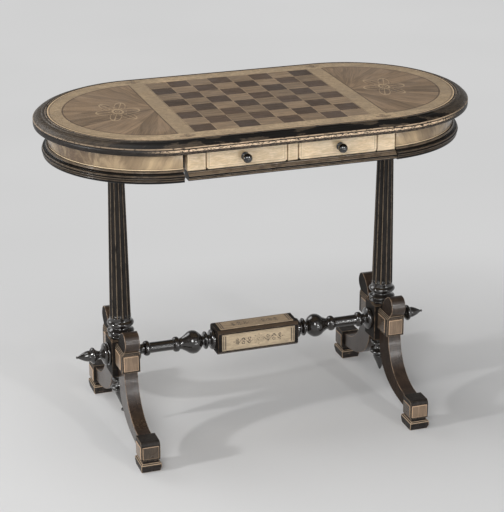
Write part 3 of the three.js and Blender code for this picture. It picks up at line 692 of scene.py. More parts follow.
def edge_finish(name):
    """The top's edge moulding: black, with a rubbed bead, a rubbed arris whose light line is partly painted
    highlight, and a chipped front.
    """
    f = finishes()

    def chipped(place, base):
        x, y, z = split(place)
        down = minus(TOP_HIGH.z, z)
        out = minus(stadium_distance(place), CORE_RADIUS)
        front = between(y, *EDGE_FRONT)
        rubbed_front = both(front, between(unsigned(minus(x, EDGE_RUB_MIDDLE)), *EDGE_RUB))
        drawn = stretched(place, (0.4, 1.0, 1.0))
        specks = noise(drawn, 240.0, 3.0, 0.6)
        # The slope is a faded brown black, patched with black at the front
        slope = both(between(out, 0.0062, 0.0074), between(down, 0.0108, 0.0098))
        long_patch = noise(stretched(place, (1.0, 3.0, 3.0)), 14.0, 2.0, 0.5)
        ragged = times_plus(noise(drawn, 170.0, 4.0, 0.7), 0.42, long_patch)
        faded = times_plus(between(specks, 0.38, 0.6), 0.6, 0.4)
        base = blended(both(slope, faded), base, scaled(f.ebony_worn, 0.23))
        patch = both(between(ragged, 0.685, 0.705), both(front, slope))
        base = blended(times(patch, 0.95), base, scaled(f.ebony, 0.2))
        # The lower band is rubbed down to bare wood at the front, with specks of black left on it
        band = both(between(down, *EDGE_BAND), between(down, EDGE_FOOT, EDGE_FOOT - 0.001))
        chips = noise(stretched(place, (0.6, 1.0, 2.2)), 300.0, 4.0, 0.65)
        bare = both(both(band, rubbed_front), between(chips, 0.56, 0.5))
        pale = both(bare, between(specks, 0.35, 0.6, 1.0, 0.75))
        base = blended(pale, base, scaled(f.ebony_worn, 3.0))
        below = between(down, EDGE_FOOT, EDGE_FOOT + 0.0008)
        under = both(both(below, rubbed_front), between(chips, 0.45, 0.6))
        base = blended(times(under, 0.6), base, scaled(f.ebony_worn, 0.7))
        # Thin light lines run along the arris and along the bead beside the border; the one on the arris is
        # rubbed wear and painted highlight
        arris = line_mask(down, *EDGE_ARRIS_RUB_AND_HIGHLIGHT)
        kept = times_plus(rubbed_front, 0.45, 0.5)
        broken = between(specks, 0.68, 0.52)
        base = blended(both(both(arris, kept), broken), base, scaled(f.ebony_worn, 1.7))
        above = between(down, *EDGE_TOP)
        bead = both(line_mask(out, *EDGE_BEAD), above)
        base = blended(both(bead, times(broken, 0.75)), base, scaled(f.ebony_worn, 1.2))
        joint = both(line_mask(out, *EDGE_JOINT), above)
        return blended(times(joint, 0.8), base, scaled(f.ebony, 0.5))

    return wood(
        name, scaled(f.ebony, 0.9), scaled(f.ebony, 1.9), scale=16.0, stretch=7.0, rough=0.42, coat=0.0,
        worn=scaled(f.ebony_worn, 0.8), amount=0.2, line_share=0.3, cover=chipped, bump=0.0001, sheen=0.22,
    )


def stadium_distance(place):
    """How far a point lies from the top's middle line."""
    x, y, _ = split(place)
    past = either(minus(unsigned(x), STRAIGHT_HALF), 0.0)
    return distance(joined(past, y))


CORNER_ORNAMENT = (0.2125, 0.2105)
CORNER_ORNAMENT_RADIUS = 0.0135


def border_finish(name):
    """Burr veneer round the top, with its dark lines and a small inlaid round at each crossing."""
    f = finishes()
    dark = scaled(f.square_dark, 0.9)

    def lined(place, base):
        burr = noise(place, 130.0, 5.0, 0.75, 0.8)
        cloudy = noise(place, 38.0, 3.0, 0.6, 0.5)
        base = blended(both(between(burr, 0.48, 0.6), 0.55), base, scaled(f.band, 0.45))
        base = blended(both(between(burr, 0.44, 0.34), 0.35), base, scaled(f.band, 1.5))
        base = blended(both(between(cloudy, 0.48, 0.66), 0.3), base, scaled(f.band, 0.6))
        away = stadium_distance(place)
        x, y, _ = split(place)
        across = unsigned(x)
        beyond = between(across, BOARD_HALF - 0.001, BOARD_HALF + 0.001)
        strip = both(beyond, between(unsigned(y), PANEL_RADIUS, PANEL_RADIUS - 0.002))
        base = blended(times(strip, 0.45), base, scaled(f.band, 0.5))
        beside = line_mask(across, BOARD_HALF + 0.0012, 0.0016)
        inside = between(unsigned(y), BOARD_HALF + 0.001, BOARD_HALF)
        base = blended(both(both(beside, inside), 0.5), base, dark)
        outer = line_mask(away, CORE_RADIUS - 0.0048, 0.0016)
        rim = line_mask(away, CORE_RADIUS - 0.0012, 0.002)
        base = blended(times(outer, 0.75), base, dark)
        base = blended(times(rim, 0.55), base, scaled(f.band, 1.7))
        corner = joined(minus(across, CORNER_ORNAMENT[0]), minus(unsigned(y), CORNER_ORNAMENT[1]))
        flat = stretched(corner, (0.8, 1.1, 1.0))
        round_up = use_group(leaf_group(), vector=flat, radius=CORNER_ORNAMENT_RADIUS, leaves=2.0)
        base = blended(both(round_up["Leaf"], 0.45), base, dark)
        return blended(both(round_up["Outline"], 0.85), base, dark)

    return wood(
        name, scaled(f.band, 0.84), scaled(f.band, 1.08), scale=26.0, stretch=2.2, rough=0.4, coat=0.0,
        line_share=0.15, cover=lined, bump=0.0001, sheen=TOP_SHEEN,
    )


def square_finish(name, tone, spread):
    """A square of the board: each veneer has its own tone and its own stretch of the grain."""
    material, shader, place = new_material(name, 0.4, sheen=TOP_SHEEN)
    own = own_value(place, "veneer")
    moved = vector_maths("ADD", place, joined(times(own, 3.0), times(own, 7.0)))
    grain = use_group(grain_group(), vector=moved, scale=14.0, stretch=9.0)
    polish = use_group(patina_group(), vector=place, scale=13.0)
    base = blended(grain["Figure"], scaled(tone, 0.78), scaled(tone, 1.2))
    base = blended(both(grain["Lines"], 0.5), base, scaled(tone, 0.6))
    shade = between(own, 0.0, 1.0, 1.0 - spread, 1.0 + spread)
    base = shaded(base, times(shade, between(grain["Fibre"], 0.0, 1.0, 0.8, 1.2)))
    base = blended(both(polish["Speck"], 0.2), base, scaled(tone, 1.9))
    rough = times_plus(polish["Cloud"], 0.12, 0.36)
    finish_surface(shader, base, rough, grain["Fibre"], 0.0001)
    return material


# The wedges meet a little behind the panel's straight side. The ornament's place is counted from there
FAN_BACK = 0.012
ORNAMENT_PLACE = 0.088


def fan_finish(name):
    """An end panel: veneers that fan out from its straight side, a dark rim and a leaf ornament."""
    f, sizes = finishes(), bpy.context.scene.table_top
    material, shader, place = new_material(name, 0.4, sheen=TOP_SHEEN)
    x, y, _ = split(place)
    out = minus(unsigned(x), PANEL_X - FAN_BACK)
    turn = maths("ARCTAN2", y, out)
    step = math.pi / sizes.fan_wedges
    wedge = maths("FLOOR", over(plus(turn, math.pi / 2), step))
    middle = times_plus(wedge, step, (step - math.pi) / 2)
    own = add_node("ShaderNodeTexWhiteNoise", {"W": wedge}, noise_dimensions="1D").outputs["Value"]
    values = {"Vector": joined(out, y), "Angle": times(middle, -1.0)}
    laid = add_node("ShaderNodeVectorRotate", values, rotation_type="Z_AXIS").outputs[0]
    moved = vector_maths("ADD", laid, joined(times(own, 5.0), times(own, 3.0)))
    grain = use_group(grain_group(), vector=moved, scale=5.0, stretch=7.0)
    polish = use_group(patina_group(), vector=place, scale=12.0)
    base = blended(grain["Figure"], scaled(f.fan, 0.78), scaled(f.fan, 1.1))
    base = blended(both(grain["Lines"], 0.45), base, scaled(f.fan, 0.5))
    shade = between(own, 0.0, 1.0, 0.84, 1.2)
    base = shaded(base, times(shade, between(grain["Fibre"], 0.0, 1.0, 0.82, 1.18)))
    away = distance(joined(minus(unsigned(x), PANEL_X), y))
    rim = line_mask(away, PANEL_RADIUS - 0.0022, 0.0026)
    side = line_mask(unsigned(x), PANEL_X + 0.0014, 0.0024)
    base = blended(both(either(rim, side), 0.75), base, scaled(f.square_dark, 0.7))
    flat = stretched(joined(minus(out, ORNAMENT_PLACE), y), (1.1, 0.72, 1.0))
    leaves, small, inner = (
        use_group(leaf_group(), vector=flat, radius=sizes.ornament * part, leaves=points)
        for part, points in ((1.0, 3.0), (0.42, 4.0), (0.7, 5.0))
    )
    base = blended(both(inner["Outline"], 0.6), base, scaled(f.square_dark, 0.8))
    base = blended(both(leaves["Leaf"], 0.16), base, scaled(f.square_dark, 0.9))
    base = blended(both(either(leaves["Outline"], small["Outline"]), 0.6), base, scaled(f.band, 1.1))
    rough = times_plus(polish["Cloud"], 0.12, 0.36)
    finish_surface(shader, base, rough, grain["Fibre"], 0.0001)
    return material


def maple_finish(name, middle=None, half=None, inset=0.0, line=0.001):
    """Pale veneer. Where a middle is given, an inlaid line runs round inside the face."""
    f = finishes()

    def lined(place, base):
        if middle is None:
            return base
        x, _, z = split(place)
        laid = joined(minus(x, middle[0]), minus(z, middle[1]))
        values = {"vector": laid, "half_width": half[0], "half_height": half[1], "line": line}
        inlay = use_group(frame_line_group(), inset=inset, **values)
        light = use_group(frame_line_group(), inset=inset + 1.4 * line, **values)
        base = blended(both(inlay["Line"], 0.42), base, scaled(f.flame_dark, 0.8))
        return blended(both(light["Line"], 0.5), base, scaled(f.maple, 1.35))

    return wood(
        name, scaled(f.maple_dark, 1.2), scaled(f.maple, 1.16), scale=34.0, stretch=2.2, rough=0.35,
        coat=0.3, worn=scaled(f.flame_dark, 0.8), amount=0.42, line_share=0.05, cover=lined, bump=0.0001,
    )


def flame_finish(name):
    """The curved friezes: upright flame stripes, and a light line along the lower edge."""
    f, sizes = finishes(), bpy.context.scene.table_case
    material, shader, place = new_material(name, 0.33, 0.35)
    wall = add_node("ShaderNodeUVMap", {}, place.id_data, uv_map="wall").outputs[0]
    round_it, up, _ = split(wall)
    bend = noise(joined(times(round_it, 5.0), times(up, 11.0)), 1.0, 3.0, 0.5)
    laid = joined(up, times_plus(bend, 0.07, round_it))
    grain = use_group(grain_group(), vector=laid, scale=7.0, stretch=9.0)
    polish = use_group(patina_group(), vector=place, scale=10.0)
    striped = joined(times(times_plus(bend, 0.05, round_it), 24.0), times(up, 9.0))
    stripes = noise(striped, 1.0, 5.0, 0.6, 0.4)
    # The flames fade towards the drawers
    near_end = between(unsigned(round_it), 0.34, 0.1)
    flames = both(between(stripes, 0.44, 0.6), times_plus(near_end, 0.65, 0.34))
    base = blended(grain["Figure"], scaled(f.flame, 0.86), scaled(f.flame, 1.2))
    base = blended(times(near_end, 0.55), base, scaled(f.flame, 0.45))
    base = blended(flames, base, f.flame_dark)
    base = shaded(base, between(grain["Fibre"], 0.0, 1.0, 0.93, 1.05))
    hem = between(up, END_WALL_FOOT + sizes.hem, END_WALL_FOOT + sizes.hem * 0.8)
    dark = line_mask(up, END_WALL_FOOT + sizes.hem * 1.5, sizes.line)
    base = blended(times(hem, 0.8), base, scaled(f.maple, 1.45))
    base = blended(times(dark, 0.35), base, scaled(f.flame_dark, 0.5))
    base = blended(worn_edges(place, 0.4), base, scaled(f.flame_dark, 0.5))
    rough = times_plus(polish["Cloud"], 0.1, 0.28)
    finish_surface(shader, base, rough, grain["Fibre"], 0.0001)
    return material


# The box's panels stand proud of its carcass and reach a little way into it
BOX_PROUD = 0.0012
BOX_SUNK = 0.0006
BOX_CHAMFER = 0.006
BOX_MARGIN = 0.009
BOX_ROUND = 0.0007
# Length of one wave of the inlaid stem
STEM_WAVE = 0.029


def box_panel_finish(name, upright):
    """A panel of the stretcher box: pale veneer with line borders and a scrolling stem."""
    f = finishes()
    size = BOX_HIGH - BOX_LOW
    margin = BOX_PROUD + BOX_MARGIN
    half_width, half_height = size.x / 2 - margin, (size.z if upright else size.y) / 2 - margin
    tone = scaled(f.maple if upright else f.band, 0.8)

    def inlaid(place, base):
        x, y, z = split(place)
        across = minus(z, STRETCHER_Z) if upright else y
        laid = joined(x, across)
        dark = scaled(f.square_dark, 0.8)
        values = {"vector": laid, "half_width": half_width, "half_height": half_height, "line": 0.0009}
        outer = use_group(frame_line_group(), inset=0.0012, **values)
        inner = use_group(frame_line_group(), inset=0.0045, **values)
        base = blended(both(outer["Line"], 0.75), base, dark)
        base = blended(both(inner["Line"], 0.35), base, dark)
        span = unsigned(x)
        off_middle = unsigned(across)
        # Two bars stand at each end, and the scrolls run between them
        thin = line_mask(span, half_width - 0.0036, 0.0017)
        thick = line_mask(span, half_width - 0.0082, 0.0023)
        bars = both(either(thin, thick), between(off_middle, half_height - 0.0028, half_height - 0.004))
        wave = times(maths("SINE", times(span, 2 * math.pi / STEM_WAVE)), 0.0058)
        fade = both(between(span, 0.058, 0.05), between(span, 0.009, 0.013))
        stem = both(line_mask(minus(across, wave), 0.0, 0.0023), fade)
        curl_place = joined(minus(maths("PINGPONG", span, STEM_WAVE / 2), 0.0072), minus(off_middle, 0.0042))
        curl = both(line_mask(distance(curl_place), 0.0030, 0.0019), fade)
        spike = both(line_mask(span, 0.051, 0.002), between(off_middle, 0.0095, 0.0075))
        at_end = both(between(span, 0.044, 0.047), between(span, 0.062, 0.058))
        tip = both(line_mask(off_middle, 0.0, 0.0018), at_end)
        broken = between(noise(place, 420.0, 2.0, 0.5), 0.42, 0.52)
        middle = use_group(leaf_group(), vector=laid, radius=0.0125, leaves=4.0)
        scroll = either(either(stem, curl), either(spike, tip))
        scroll = both(either(scroll, middle["Outline"]), broken)
        base = blended(scroll, base, scaled(f.square_dark, 0.3))
        return blended(bars, base, scaled(f.square_dark, 0.35))

    return wood(
        name, scaled(tone, 0.74), scaled(tone, 1.08), scale=34.0, stretch=4.0, rough=0.34, coat=0.3,
        worn=scaled(f.maple, 1.3), amount=0.35, line_share=0.3, cover=inlaid, bump=0.0001,
    )


# Outlines


def curve_through(points, steps):
    """Points along a smooth curve through the given ones, both ends included."""
    if len(points) == 2:
        return [points[0].copy(), points[1].copy()]
    padded = [2 * points[0] - points[1], *points, 2 * points[-1] - points[-2]]
    made = []
    for a, b, c, d in zip(padded, padded[1:], padded[2:], padded[3:]):
        for i in range(steps):
            t = i / steps
            bend = (2 * a - 5 * b + 4 * c - d) * t * t + (3 * b - a - 3 * c + d) * t ** 3
            made.append((2 * b + (c - a) * t + bend) / 2)
    return [*made, points[-1].copy()]


def outline_of(runs, width, height, steps=5):
    """Joins runs of shares into one outline in metres.

    Each run is a smooth curve from the end of the run before it, and runs meet at corners.
    """
    made, last = [], ()
    for run in runs:
        points = [Vector((out * width, up * height)) for up, out in (*last, *run)]
        made += curve_through(points, steps)[1 if made else 0:]
        last = run[-1:]
    return made


SHARP_TURN = math.radians(24)
WORN_RADIUS = 0.0007
MEETING = 1e-6


def eased(points, reach, closed, way=1):
    """Rounds each sharp corner a little. Gives each point with how worn it is, 1 on a convex edge."""
    made = []
    total = len(points)
    for i, point in enumerate(points):
        if not closed and i in (0, total - 1):
            made.append((point, 0.0))
            continue
        before, after = point - points[i - 1], points[(i + 1) % total] - point
        if min(before.length, after.length) < MEETING / 10:
            continue
        turn = way * math.atan2(before.x * after.y - before.y * after.x, before.dot(after))
        if abs(turn) < SHARP_TURN:
            bend = turn / (0.5 * (before.length + after.length))
            made.append((point, max(0.0, min(1.0, bend * WORN_RADIUS))))
            continue
        start = point - before.normalized() * min(reach, 0.45 * before.length)
        end = point + after.normalized() * min(reach, 0.45 * after.length)
        worn = 1.0 if turn > 0 else 0.0
        made += [(start, 0.35 * worn), ((start + end + 2 * point) / 4, worn), (end, 0.35 * worn)]
    return made


# Meshes


def plain_mesh(holder):
    """Takes the finished mesh of an object, and removes the object."""
    bpy.context.scene.collection.objects.link(holder)
    seen = holder.evaluated_get(bpy.context.evaluated_depsgraph_get())
    mesh = bpy.data.meshes.new_from_object(seen)
    bpy.data.objects.remove(holder)
    return mesh


def new_build(mesh=None):
    """A mesh in the making, empty or from a finished one."""
    build = bmesh.new()
    if mesh:
        build.from_mesh(mesh)
    else:
        build.faces.layers.float.new("wear")
    return build


def end_build(build, mesh):
    build.to_mesh(mesh)
    build.free()
    return mesh


def show(name, mesh, materials, body, stands_for=(), sharp=38):
    """Puts a finished mesh in the scene, on its body."""
    piece = bpy.data.objects.new(name, mesh)
    bpy.context.scene.collection.objects.link(piece)
    for i, material in enumerate(materials):
        if i < len(mesh.materials):
            mesh.materials[i] = material
        else:
            mesh.materials.append(material)
    mesh.shade_smooth()
    mesh.set_sharp_from_angle(angle=math.radians(sharp))
    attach(piece, body)
    if stands_for:
        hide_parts(*stands_for)
    return piece


def mesh_from(name, corners, faces, wear=None, wall=None):
    """A mesh with its wear on points and, where given, its wall coordinates."""
    mesh = bpy.data.meshes.new(name)
    mesh.from_pydata([tuple(corner) for corner in corners], [], faces)
    if wear is not None:
        mesh.attributes.new("wear", "FLOAT", "POINT").data.foreach_set("value", wear)
    if wall is not None:
        layer = mesh.uv_layers.new(name="wall")
        for loop in mesh.loops:
            layer.data[loop.index].uv = wall[loop.vertex_index]
    mesh.update()
    return mesh


def turned_mesh(name, outline, foot, axis, steps=64):
    """Turns an outline, radius and rise, about an axis that starts at foot."""
    set_up = Matrix.Translation(foot) @ axis.to_track_quat("Z", "Y").to_matrix().to_4x4()
    corners, wear, faces = [], [], []
    for point, worn in outline:
        for i in range(steps):
            turn = 2 * math.pi * i / steps
            corners.append(set_up @ Vector((point.x * math.cos(turn), point.x * math.sin(turn), point.y)))
            wear.append(worn)
    for ring in range(len(outline) - 1):
        for i in range(steps):
            a, b = ring * steps + i, ring * steps + (i + 1) % steps
            faces.append((a, b, b + steps, a + steps))
    for ring, flip in ((0, True), (len(outline) - 1, False)):
        pole = len(corners)
        corners.append(set_up @ Vector((0, 0, outline[ring][0].y)))
        wear.append(0.0)
        for i in range(steps):
            a, b = ring * steps + i, ring * steps + (i + 1) % steps
            faces.append((b, a, pole) if flip else (a, b, pole))
    return mesh_from(name, corners, faces, wear)


def turned_piece(name, runs, long, radius, foot, axis, material, body, node):
    """A turned and blackened piece in place of a CAD node."""
    outline = eased(outline_of(runs, radius, long), FINE_ROUND, False)
    show(name, turned_mesh(name, outline, foot, axis), [material], body, (node,))


def swept_mesh(name, stations, section, closed, wall=False):
    """Carries a closed section, given as distance and height, through stations that place a point."""
    corners, wear, faces, laid = [], [], [], []
    for place in stations:
        for point, worn in section:
            spot, run = place(point)
            corners.append(spot)
            wear.append(worn)
            laid.append((run, spot.z))
    around, total = len(section), len(stations)
    for i in range(total if closed else total - 1):
        for j in range(around):
            k = (j + 1) % around
            low, high = i * around, ((i + 1) % total) * around
            faces.append((low + j, low + k, high + k, high + j))
    if not closed:
        faces.append(tuple(range(around)))
        faces.append(tuple((total - 1) * around + j for j in reversed(range(around))))
    mesh = mesh_from(name, corners, faces, wear, laid if wall else None)
    turn_outwards(mesh)
    return mesh


def turn_outwards(mesh):
    build = new_build(mesh)
    bmesh.ops.recalc_face_normals(build, faces=build.faces)
    end_build(build, mesh)


ARC_STEPS = 72


def stadium_stations():
    """Stations round the whole top."""
    made = []
    for side in (1, -1):
        for i in range(ARC_STEPS + 1):
            turn = -side * math.pi / 2 + math.pi * i / ARC_STEPS
            way = Vector((math.cos(turn), math.sin(turn), 0))

            def place(point, way=way, side=side):
                return Vector((side * STRAIGHT_HALF, 0, point.y)) + way * point.x, 0.0

            made.append(place)
    return made


def arc_stations(seam):
    """Stations round an end compartment that is cut off square where its seam is."""
    made = []
    for i in range(ARC_STEPS + 1):
        part = 2 * i / ARC_STEPS - 1

        def place(point, part=part):
            turn = part * math.acos((seam - STRAIGHT_HALF) / point.x)
            spot = Vector((STRAIGHT_HALF + point.x * math.cos(turn), point.x * math.sin(turn), point.y))
            return spot, turn * point.x

        made.append(place)
    return made


def straight_stations(low, high, way):
    """Two stations along the front or the back of the case."""

    def at(x):
        return lambda point: (Vector((x, way * point.x, point.y)), x)

    return [at(low), at(high)]


def plate_mesh(name, outlines, low, high):
    """A flat plate from closed outlines, where an inner one is a hole."""
    curve = bpy.data.curves.new(name, "CURVE")
    curve.dimensions = "2D"
    curve.fill_mode = "BOTH"
    curve.extrude = (high - low) / 2
    for outline in outlines:
        spline = curve.splines.new("POLY")
        spline.points.add(len(outline) - 1)
        for point, (x, y) in zip(spline.points, outline):
            point.co = (x, y, 0, 1)
        spline.use_cyclic_u = True
    mesh = plain_mesh(bpy.data.objects.new(name, curve))
    build = new_build(mesh)
    bmesh.ops.remove_doubles(build, verts=build.verts, dist=MEETING)
    bmesh.ops.translate(build, verts=build.verts, vec=(0, 0, (low + high) / 2))
    bmesh.ops.recalc_face_normals(build, faces=build.faces)
    return end_build(build, mesh)


# Roundings of edges, in metres, and the angles from which an edge counts as sharp
FINE_ROUND = 0.0005
BOARD_ROUND = 0.0006
BEARER_ROUND = 0.0015
SHARP_EDGE = math.radians(28)
SHARP_CORNER = math.radians(40)


def round_edges(build, width, at_least=SHARP_EDGE):
    """Rounds the sharp edges, and marks the new faces as worn."""
    sharp = [e for e in build.edges if e.is_manifold and e.calc_face_angle(0) > at_least]
    layer = build.faces.layers.float.get("wear") or build.faces.layers.float.new("wear")
    made = bmesh.ops.bevel(
        build, geom=sharp, offset=width, offset_type="OFFSET", segments=2, profile=0.5,
        affect="EDGES", clamp_overlap=True,
    )
    for face in made["faces"]:
        face[layer] = 1.0


def weigh_normals(piece):
    """Keeps broad faces flat in the light although their edges are rounded."""
    weighed = piece.modifiers.new("Weighted normals", "WEIGHTED_NORMAL")
    weighed.keep_sharp = True
    weighed.weight = 70


NODE_MEETING = 2e-5


def rounded_copy(node, width, material):
    """Stands for a CAD node with a copy whose edges are rounded."""
    build = new_build(frame["nodes"][node].data)
    bmesh.ops.remove_doubles(build, verts=build.verts, dist=NODE_MEETING)
    bmesh.ops.dissolve_limit(build, angle_limit=math.radians(1), verts=build.verts, edges=build.edges)
    round_edges(build, width)
    show_build(f"{node}_finished", build, [material], frame["nodes"][node]["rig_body"], (node,))


def only(paint):
    """Gives every face the same material."""
    return lambda face: paint


def take_in(build, part, material_for):
    """Moves a part's faces into a larger mesh in the making, each with the material chosen for it."""
    for face in part.faces:
        face.material_index = material_for(face)
    mesh = end_build(part, bpy.data.meshes.new("part"))
    build.from_mesh(mesh)
    bpy.data.meshes.remove(mesh)


def block_into(build, corner, opposite, width, material_for):
    """Adds one block with rounded edges to a mesh in the making."""
    part = bmesh.new()
    bmesh.ops.create_cube(part, size=1)
    low, high = ([way(pair) for pair in zip(corner, opposite)] for way in (min, max))
    for vertex in part.verts:
        vertex.co = Vector([low[i] + (vertex.co[i] + 0.5) * (high[i] - low[i]) for i in range(3)])
    round_edges(part, width)
    take_in(build, part, material_for)


def loft_into(build, rings, width, material_for, at_least=SHARP_EDGE):
    """Adds a closed solid that passes through matching rings of corners, with its edges rounded."""
    part = bmesh.new()
    made = [[part.verts.new(corner) for corner in ring] for ring in rings]
    part.faces.new(made[0])
    part.faces.new(list(reversed(made[-1])))
    for low, high in zip(made, made[1:]):
        for i in range(len(low)):
            part.faces.new((low[i], low[i - 1], high[i - 1], high[i]))
    bmesh.ops.recalc_face_normals(part, faces=part.faces)
    round_edges(part, width, at_least)
    take_in(build, part, material_for)


def show_build(name, build, materials, body, stands_for):
    mesh = end_build(build, bpy.data.meshes.new(name))
    weigh_normals(show(name, mesh, materials, body, stands_for))


# Geometry nodes


def geometry_tree(name, inputs):
    tree = bpy.data.node_groups.new(name, "GeometryNodeTree")
    for socket, kind in inputs:
        tree.interface.new_socket(socket, in_out="INPUT", socket_type=kind)
    tree.interface.new_socket("Geometry", in_out="OUTPUT", socket_type="NodeSocketGeometry")
    return tree, tree.nodes.new("NodeGroupInput").outputs


def made_real(geometry, material):
    """Makes instances real and gives them their material."""
    real = add_node("GeometryNodeRealizeInstances", {"Geometry": geometry}).outputs[0]
    return add_node("GeometryNodeSetMaterial", {"Geometry": real, "Material": material}).outputs[0]


def grown_mesh(name, tree, values):
    """Runs a tree with the given values, and hands back its plain mesh."""
    holder = bpy.data.objects.new(name, bpy.data.meshes.new(name))
    grower = holder.modifiers.new(tree.name, "NODES")
    grower.node_group = tree
    for item in tree.interface.items_tree:
        if item.in_out == "INPUT" and item.name in values:
            grower[item.identifier] = values[item.name]
    return plain_mesh(holder)


def named_value(geometry, name, value, domain="POINT"):
    values = {"Geometry": geometry, "Name": name, "Value": value}
    made = add_node("GeometryNodeStoreNamedAttribute", values, data_type="FLOAT", domain=domain)
    return made.outputs["Geometry"]


TONE_SEED = 7


def board_tree():
    """Squares in rows, light and dark by turns, each a block on its own place."""
    inputs = (
        ("Side", FLOAT), ("Gap", FLOAT), ("Count", "NodeSocketInt"), ("Thickness", FLOAT),
        ("Light", "NodeSocketMaterial"), ("Dark", "NodeSocketMaterial"),
    )
    tree, given = geometry_tree("Board squares", inputs)
    reach = times(given["Side"], minus(given["Count"], 1.0))
    sizes = {"Size X": reach, "Size Y": reach, "Vertices X": given["Count"], "Vertices Y": given["Count"]}
    grid = add_node("GeometryNodeMeshGrid", sizes).outputs["Mesh"]
    own = minus(given["Side"], given["Gap"])
    block = add_node("GeometryNodeMeshCube", {"Size": joined(own, own, given["Thickness"])})
    index = tree.nodes.new("GeometryNodeInputIndex").outputs[0]
    column = maths("FLOOR", over(plus(index, 0.5), given["Count"]))
    row = minus(index, times(column, given["Count"]))
    odd = maths("MODULO", maths("ROUND", plus(row, column)), 2.0)
    values = {"ID": index, "Seed": TONE_SEED}
    own_tone = add_node("FunctionNodeRandomValue", values, data_type="FLOAT").outputs[1]
    gathered = tree.nodes.new("GeometryNodeJoinGeometry")
    for dark, paint in ((0.0, given["Dark"]), (1.0, given["Light"])):
        chosen = maths("COMPARE", odd, dark, 0.1)
        values = {"Points": grid, "Selection": chosen, "Instance": block.outputs[0]}
        placed = add_node("GeometryNodeInstanceOnPoints", values).outputs[0]
        toned = named_value(placed, "veneer", own_tone, "INSTANCE")
        tree.links.new(made_real(toned, paint), gathered.inputs[0])
    add_node("NodeGroupOutput", {"Geometry": gathered.outputs[0]})
    return tree


POINTS_PER_FLUTE = 14.0
SHAFT_RINGS = 150


def shaft_tree():
    """A tapered shaft with round-ended flutes, from its foot upwards."""
    inputs = (
        ("Foot radius", FLOAT), ("Head radius", FLOAT), ("Height", FLOAT), ("Flutes", "NodeSocketInt"),
        ("Depth", FLOAT), ("Fillet", FLOAT), ("Start", FLOAT), ("Material", "NodeSocketMaterial"),
    )
    tree, given = geometry_tree("Fluted shaft", inputs)
    sizes = {
        "Vertices": times(given["Flutes"], POINTS_PER_FLUTE), "Side Segments": SHAFT_RINGS,
        "Radius": given["Foot radius"], "Depth": given["Height"],
    }
    body = add_node("GeometryNodeMeshCylinder", sizes).outputs["Mesh"]
    x, y, z = split(tree.nodes.new("GeometryNodeInputPosition").outputs[0])
    up = plus(z, times(given["Height"], 0.5))
    part = over(up, given["Height"])
    taper = times(part, times_plus(part, 0.2, 0.8))
    loss = minus(given["Foot radius"], given["Head radius"])
    radius = minus(given["Foot radius"], times(loss, taper))
    turn = maths("ARCTAN2", y, x)
    laps = times(turn, times(given["Flutes"], 0.5 / math.pi))
    across = times_plus(maths("FRACT", laps), 2.0, -1.0)
    hollow_share = minus(1.0, given["Fillet"])
    side = over(across, hollow_share)
    half = times(over(times(radius, math.pi), given["Flutes"]), hollow_share)
    past = either(over(minus(plus(given["Start"], half), up), half), 0.0)
    square = plus(times(side, side), times(past, past))
    hollow = maths("SQRT", either(minus(1.0, square), 0.0))
    reach = minus(radius, times(given["Depth"], hollow))
    flat = vector_maths("NORMALIZE", joined(x, y))
    lifted = vector_maths("ADD", stretched(flat, joined(reach, reach, reach)), joined(0.0, 0.0, up))
    middle = distance(joined(x, y))
    is_wall = maths("GREATER_THAN", middle, times(given["Foot radius"], 0.5))
    values = {"Geometry": body, "Position": lifted, "Selection": is_wall}
    placed = add_node("GeometryNodeSetPosition", values).outputs[0]
    # The fillets between the flutes are marked worn: rubbed polish and painted highlight
    worn = named_value(placed, "wear", both(is_wall, between(hollow, 0.0, 0.16, 0.8, 0.0)))
    add_node("NodeGroupOutput", {"Geometry": made_real(worn, given["Material"])})
    return tree


# Top

# The edge moulding's runs, as height and distance shares, from the core out over the top and back under
EDGE_RUNS = (
    ((0.0, 0.0), (1.0, 0.0)), ((1.0, 0.08),), ((0.95, 0.13),),
    ((0.985, 0.17), (1.0, 0.25), (0.985, 0.33), (0.945, 0.37)), ((0.915, 0.40),),
    ((0.875, 0.58), (0.77, 0.78), (0.60, 0.95)), ((0.545, 1.0),), ((0.5, 0.995), (0.45, 0.965)),
    ((0.405, 0.985), (0.34, 1.0)), ((0.14, 1.0),), ((0.05, 0.975), (0.0, 0.9)), ((0.0, 0.0),),
)


def sweep_section(runs, inner, outer, low, high, ease):
    """A closed section between two distances and two heights."""
    outline = outline_of(runs, outer - inner, high - low)
    moved = [point + Vector((inner, low)) for point in outline]
    if (moved[0] - moved[-1]).length < MEETING:
        moved.pop()
    area = sum(a.x * b.y - b.x * a.y for a, b in zip(moved, moved[1:] + moved[:1]))
    return eased(moved, ease, True, 1 if area > 0 else -1)


def half_round(side, middle, radius):
    """The outline of a half round on one side, whose straight side faces the board."""
    turns = [math.pi * (i / ARC_STEPS - 0.5) for i in range(ARC_STEPS + 1)]
    return [(side * (middle + radius * math.cos(turn)), radius * math.sin(turn)) for turn in turns]


def square_outline(half):
    return [(-half, -half), (half, -half), (half, half), (-half, half)]


# The veneers lie a hair apart, the moulding stands off the core, and the stringing goes a little deeper
JOINT_GAP = 0.00012
MOULDING_GAP = 0.0003
STRINGING_DEPTH = 0.00005


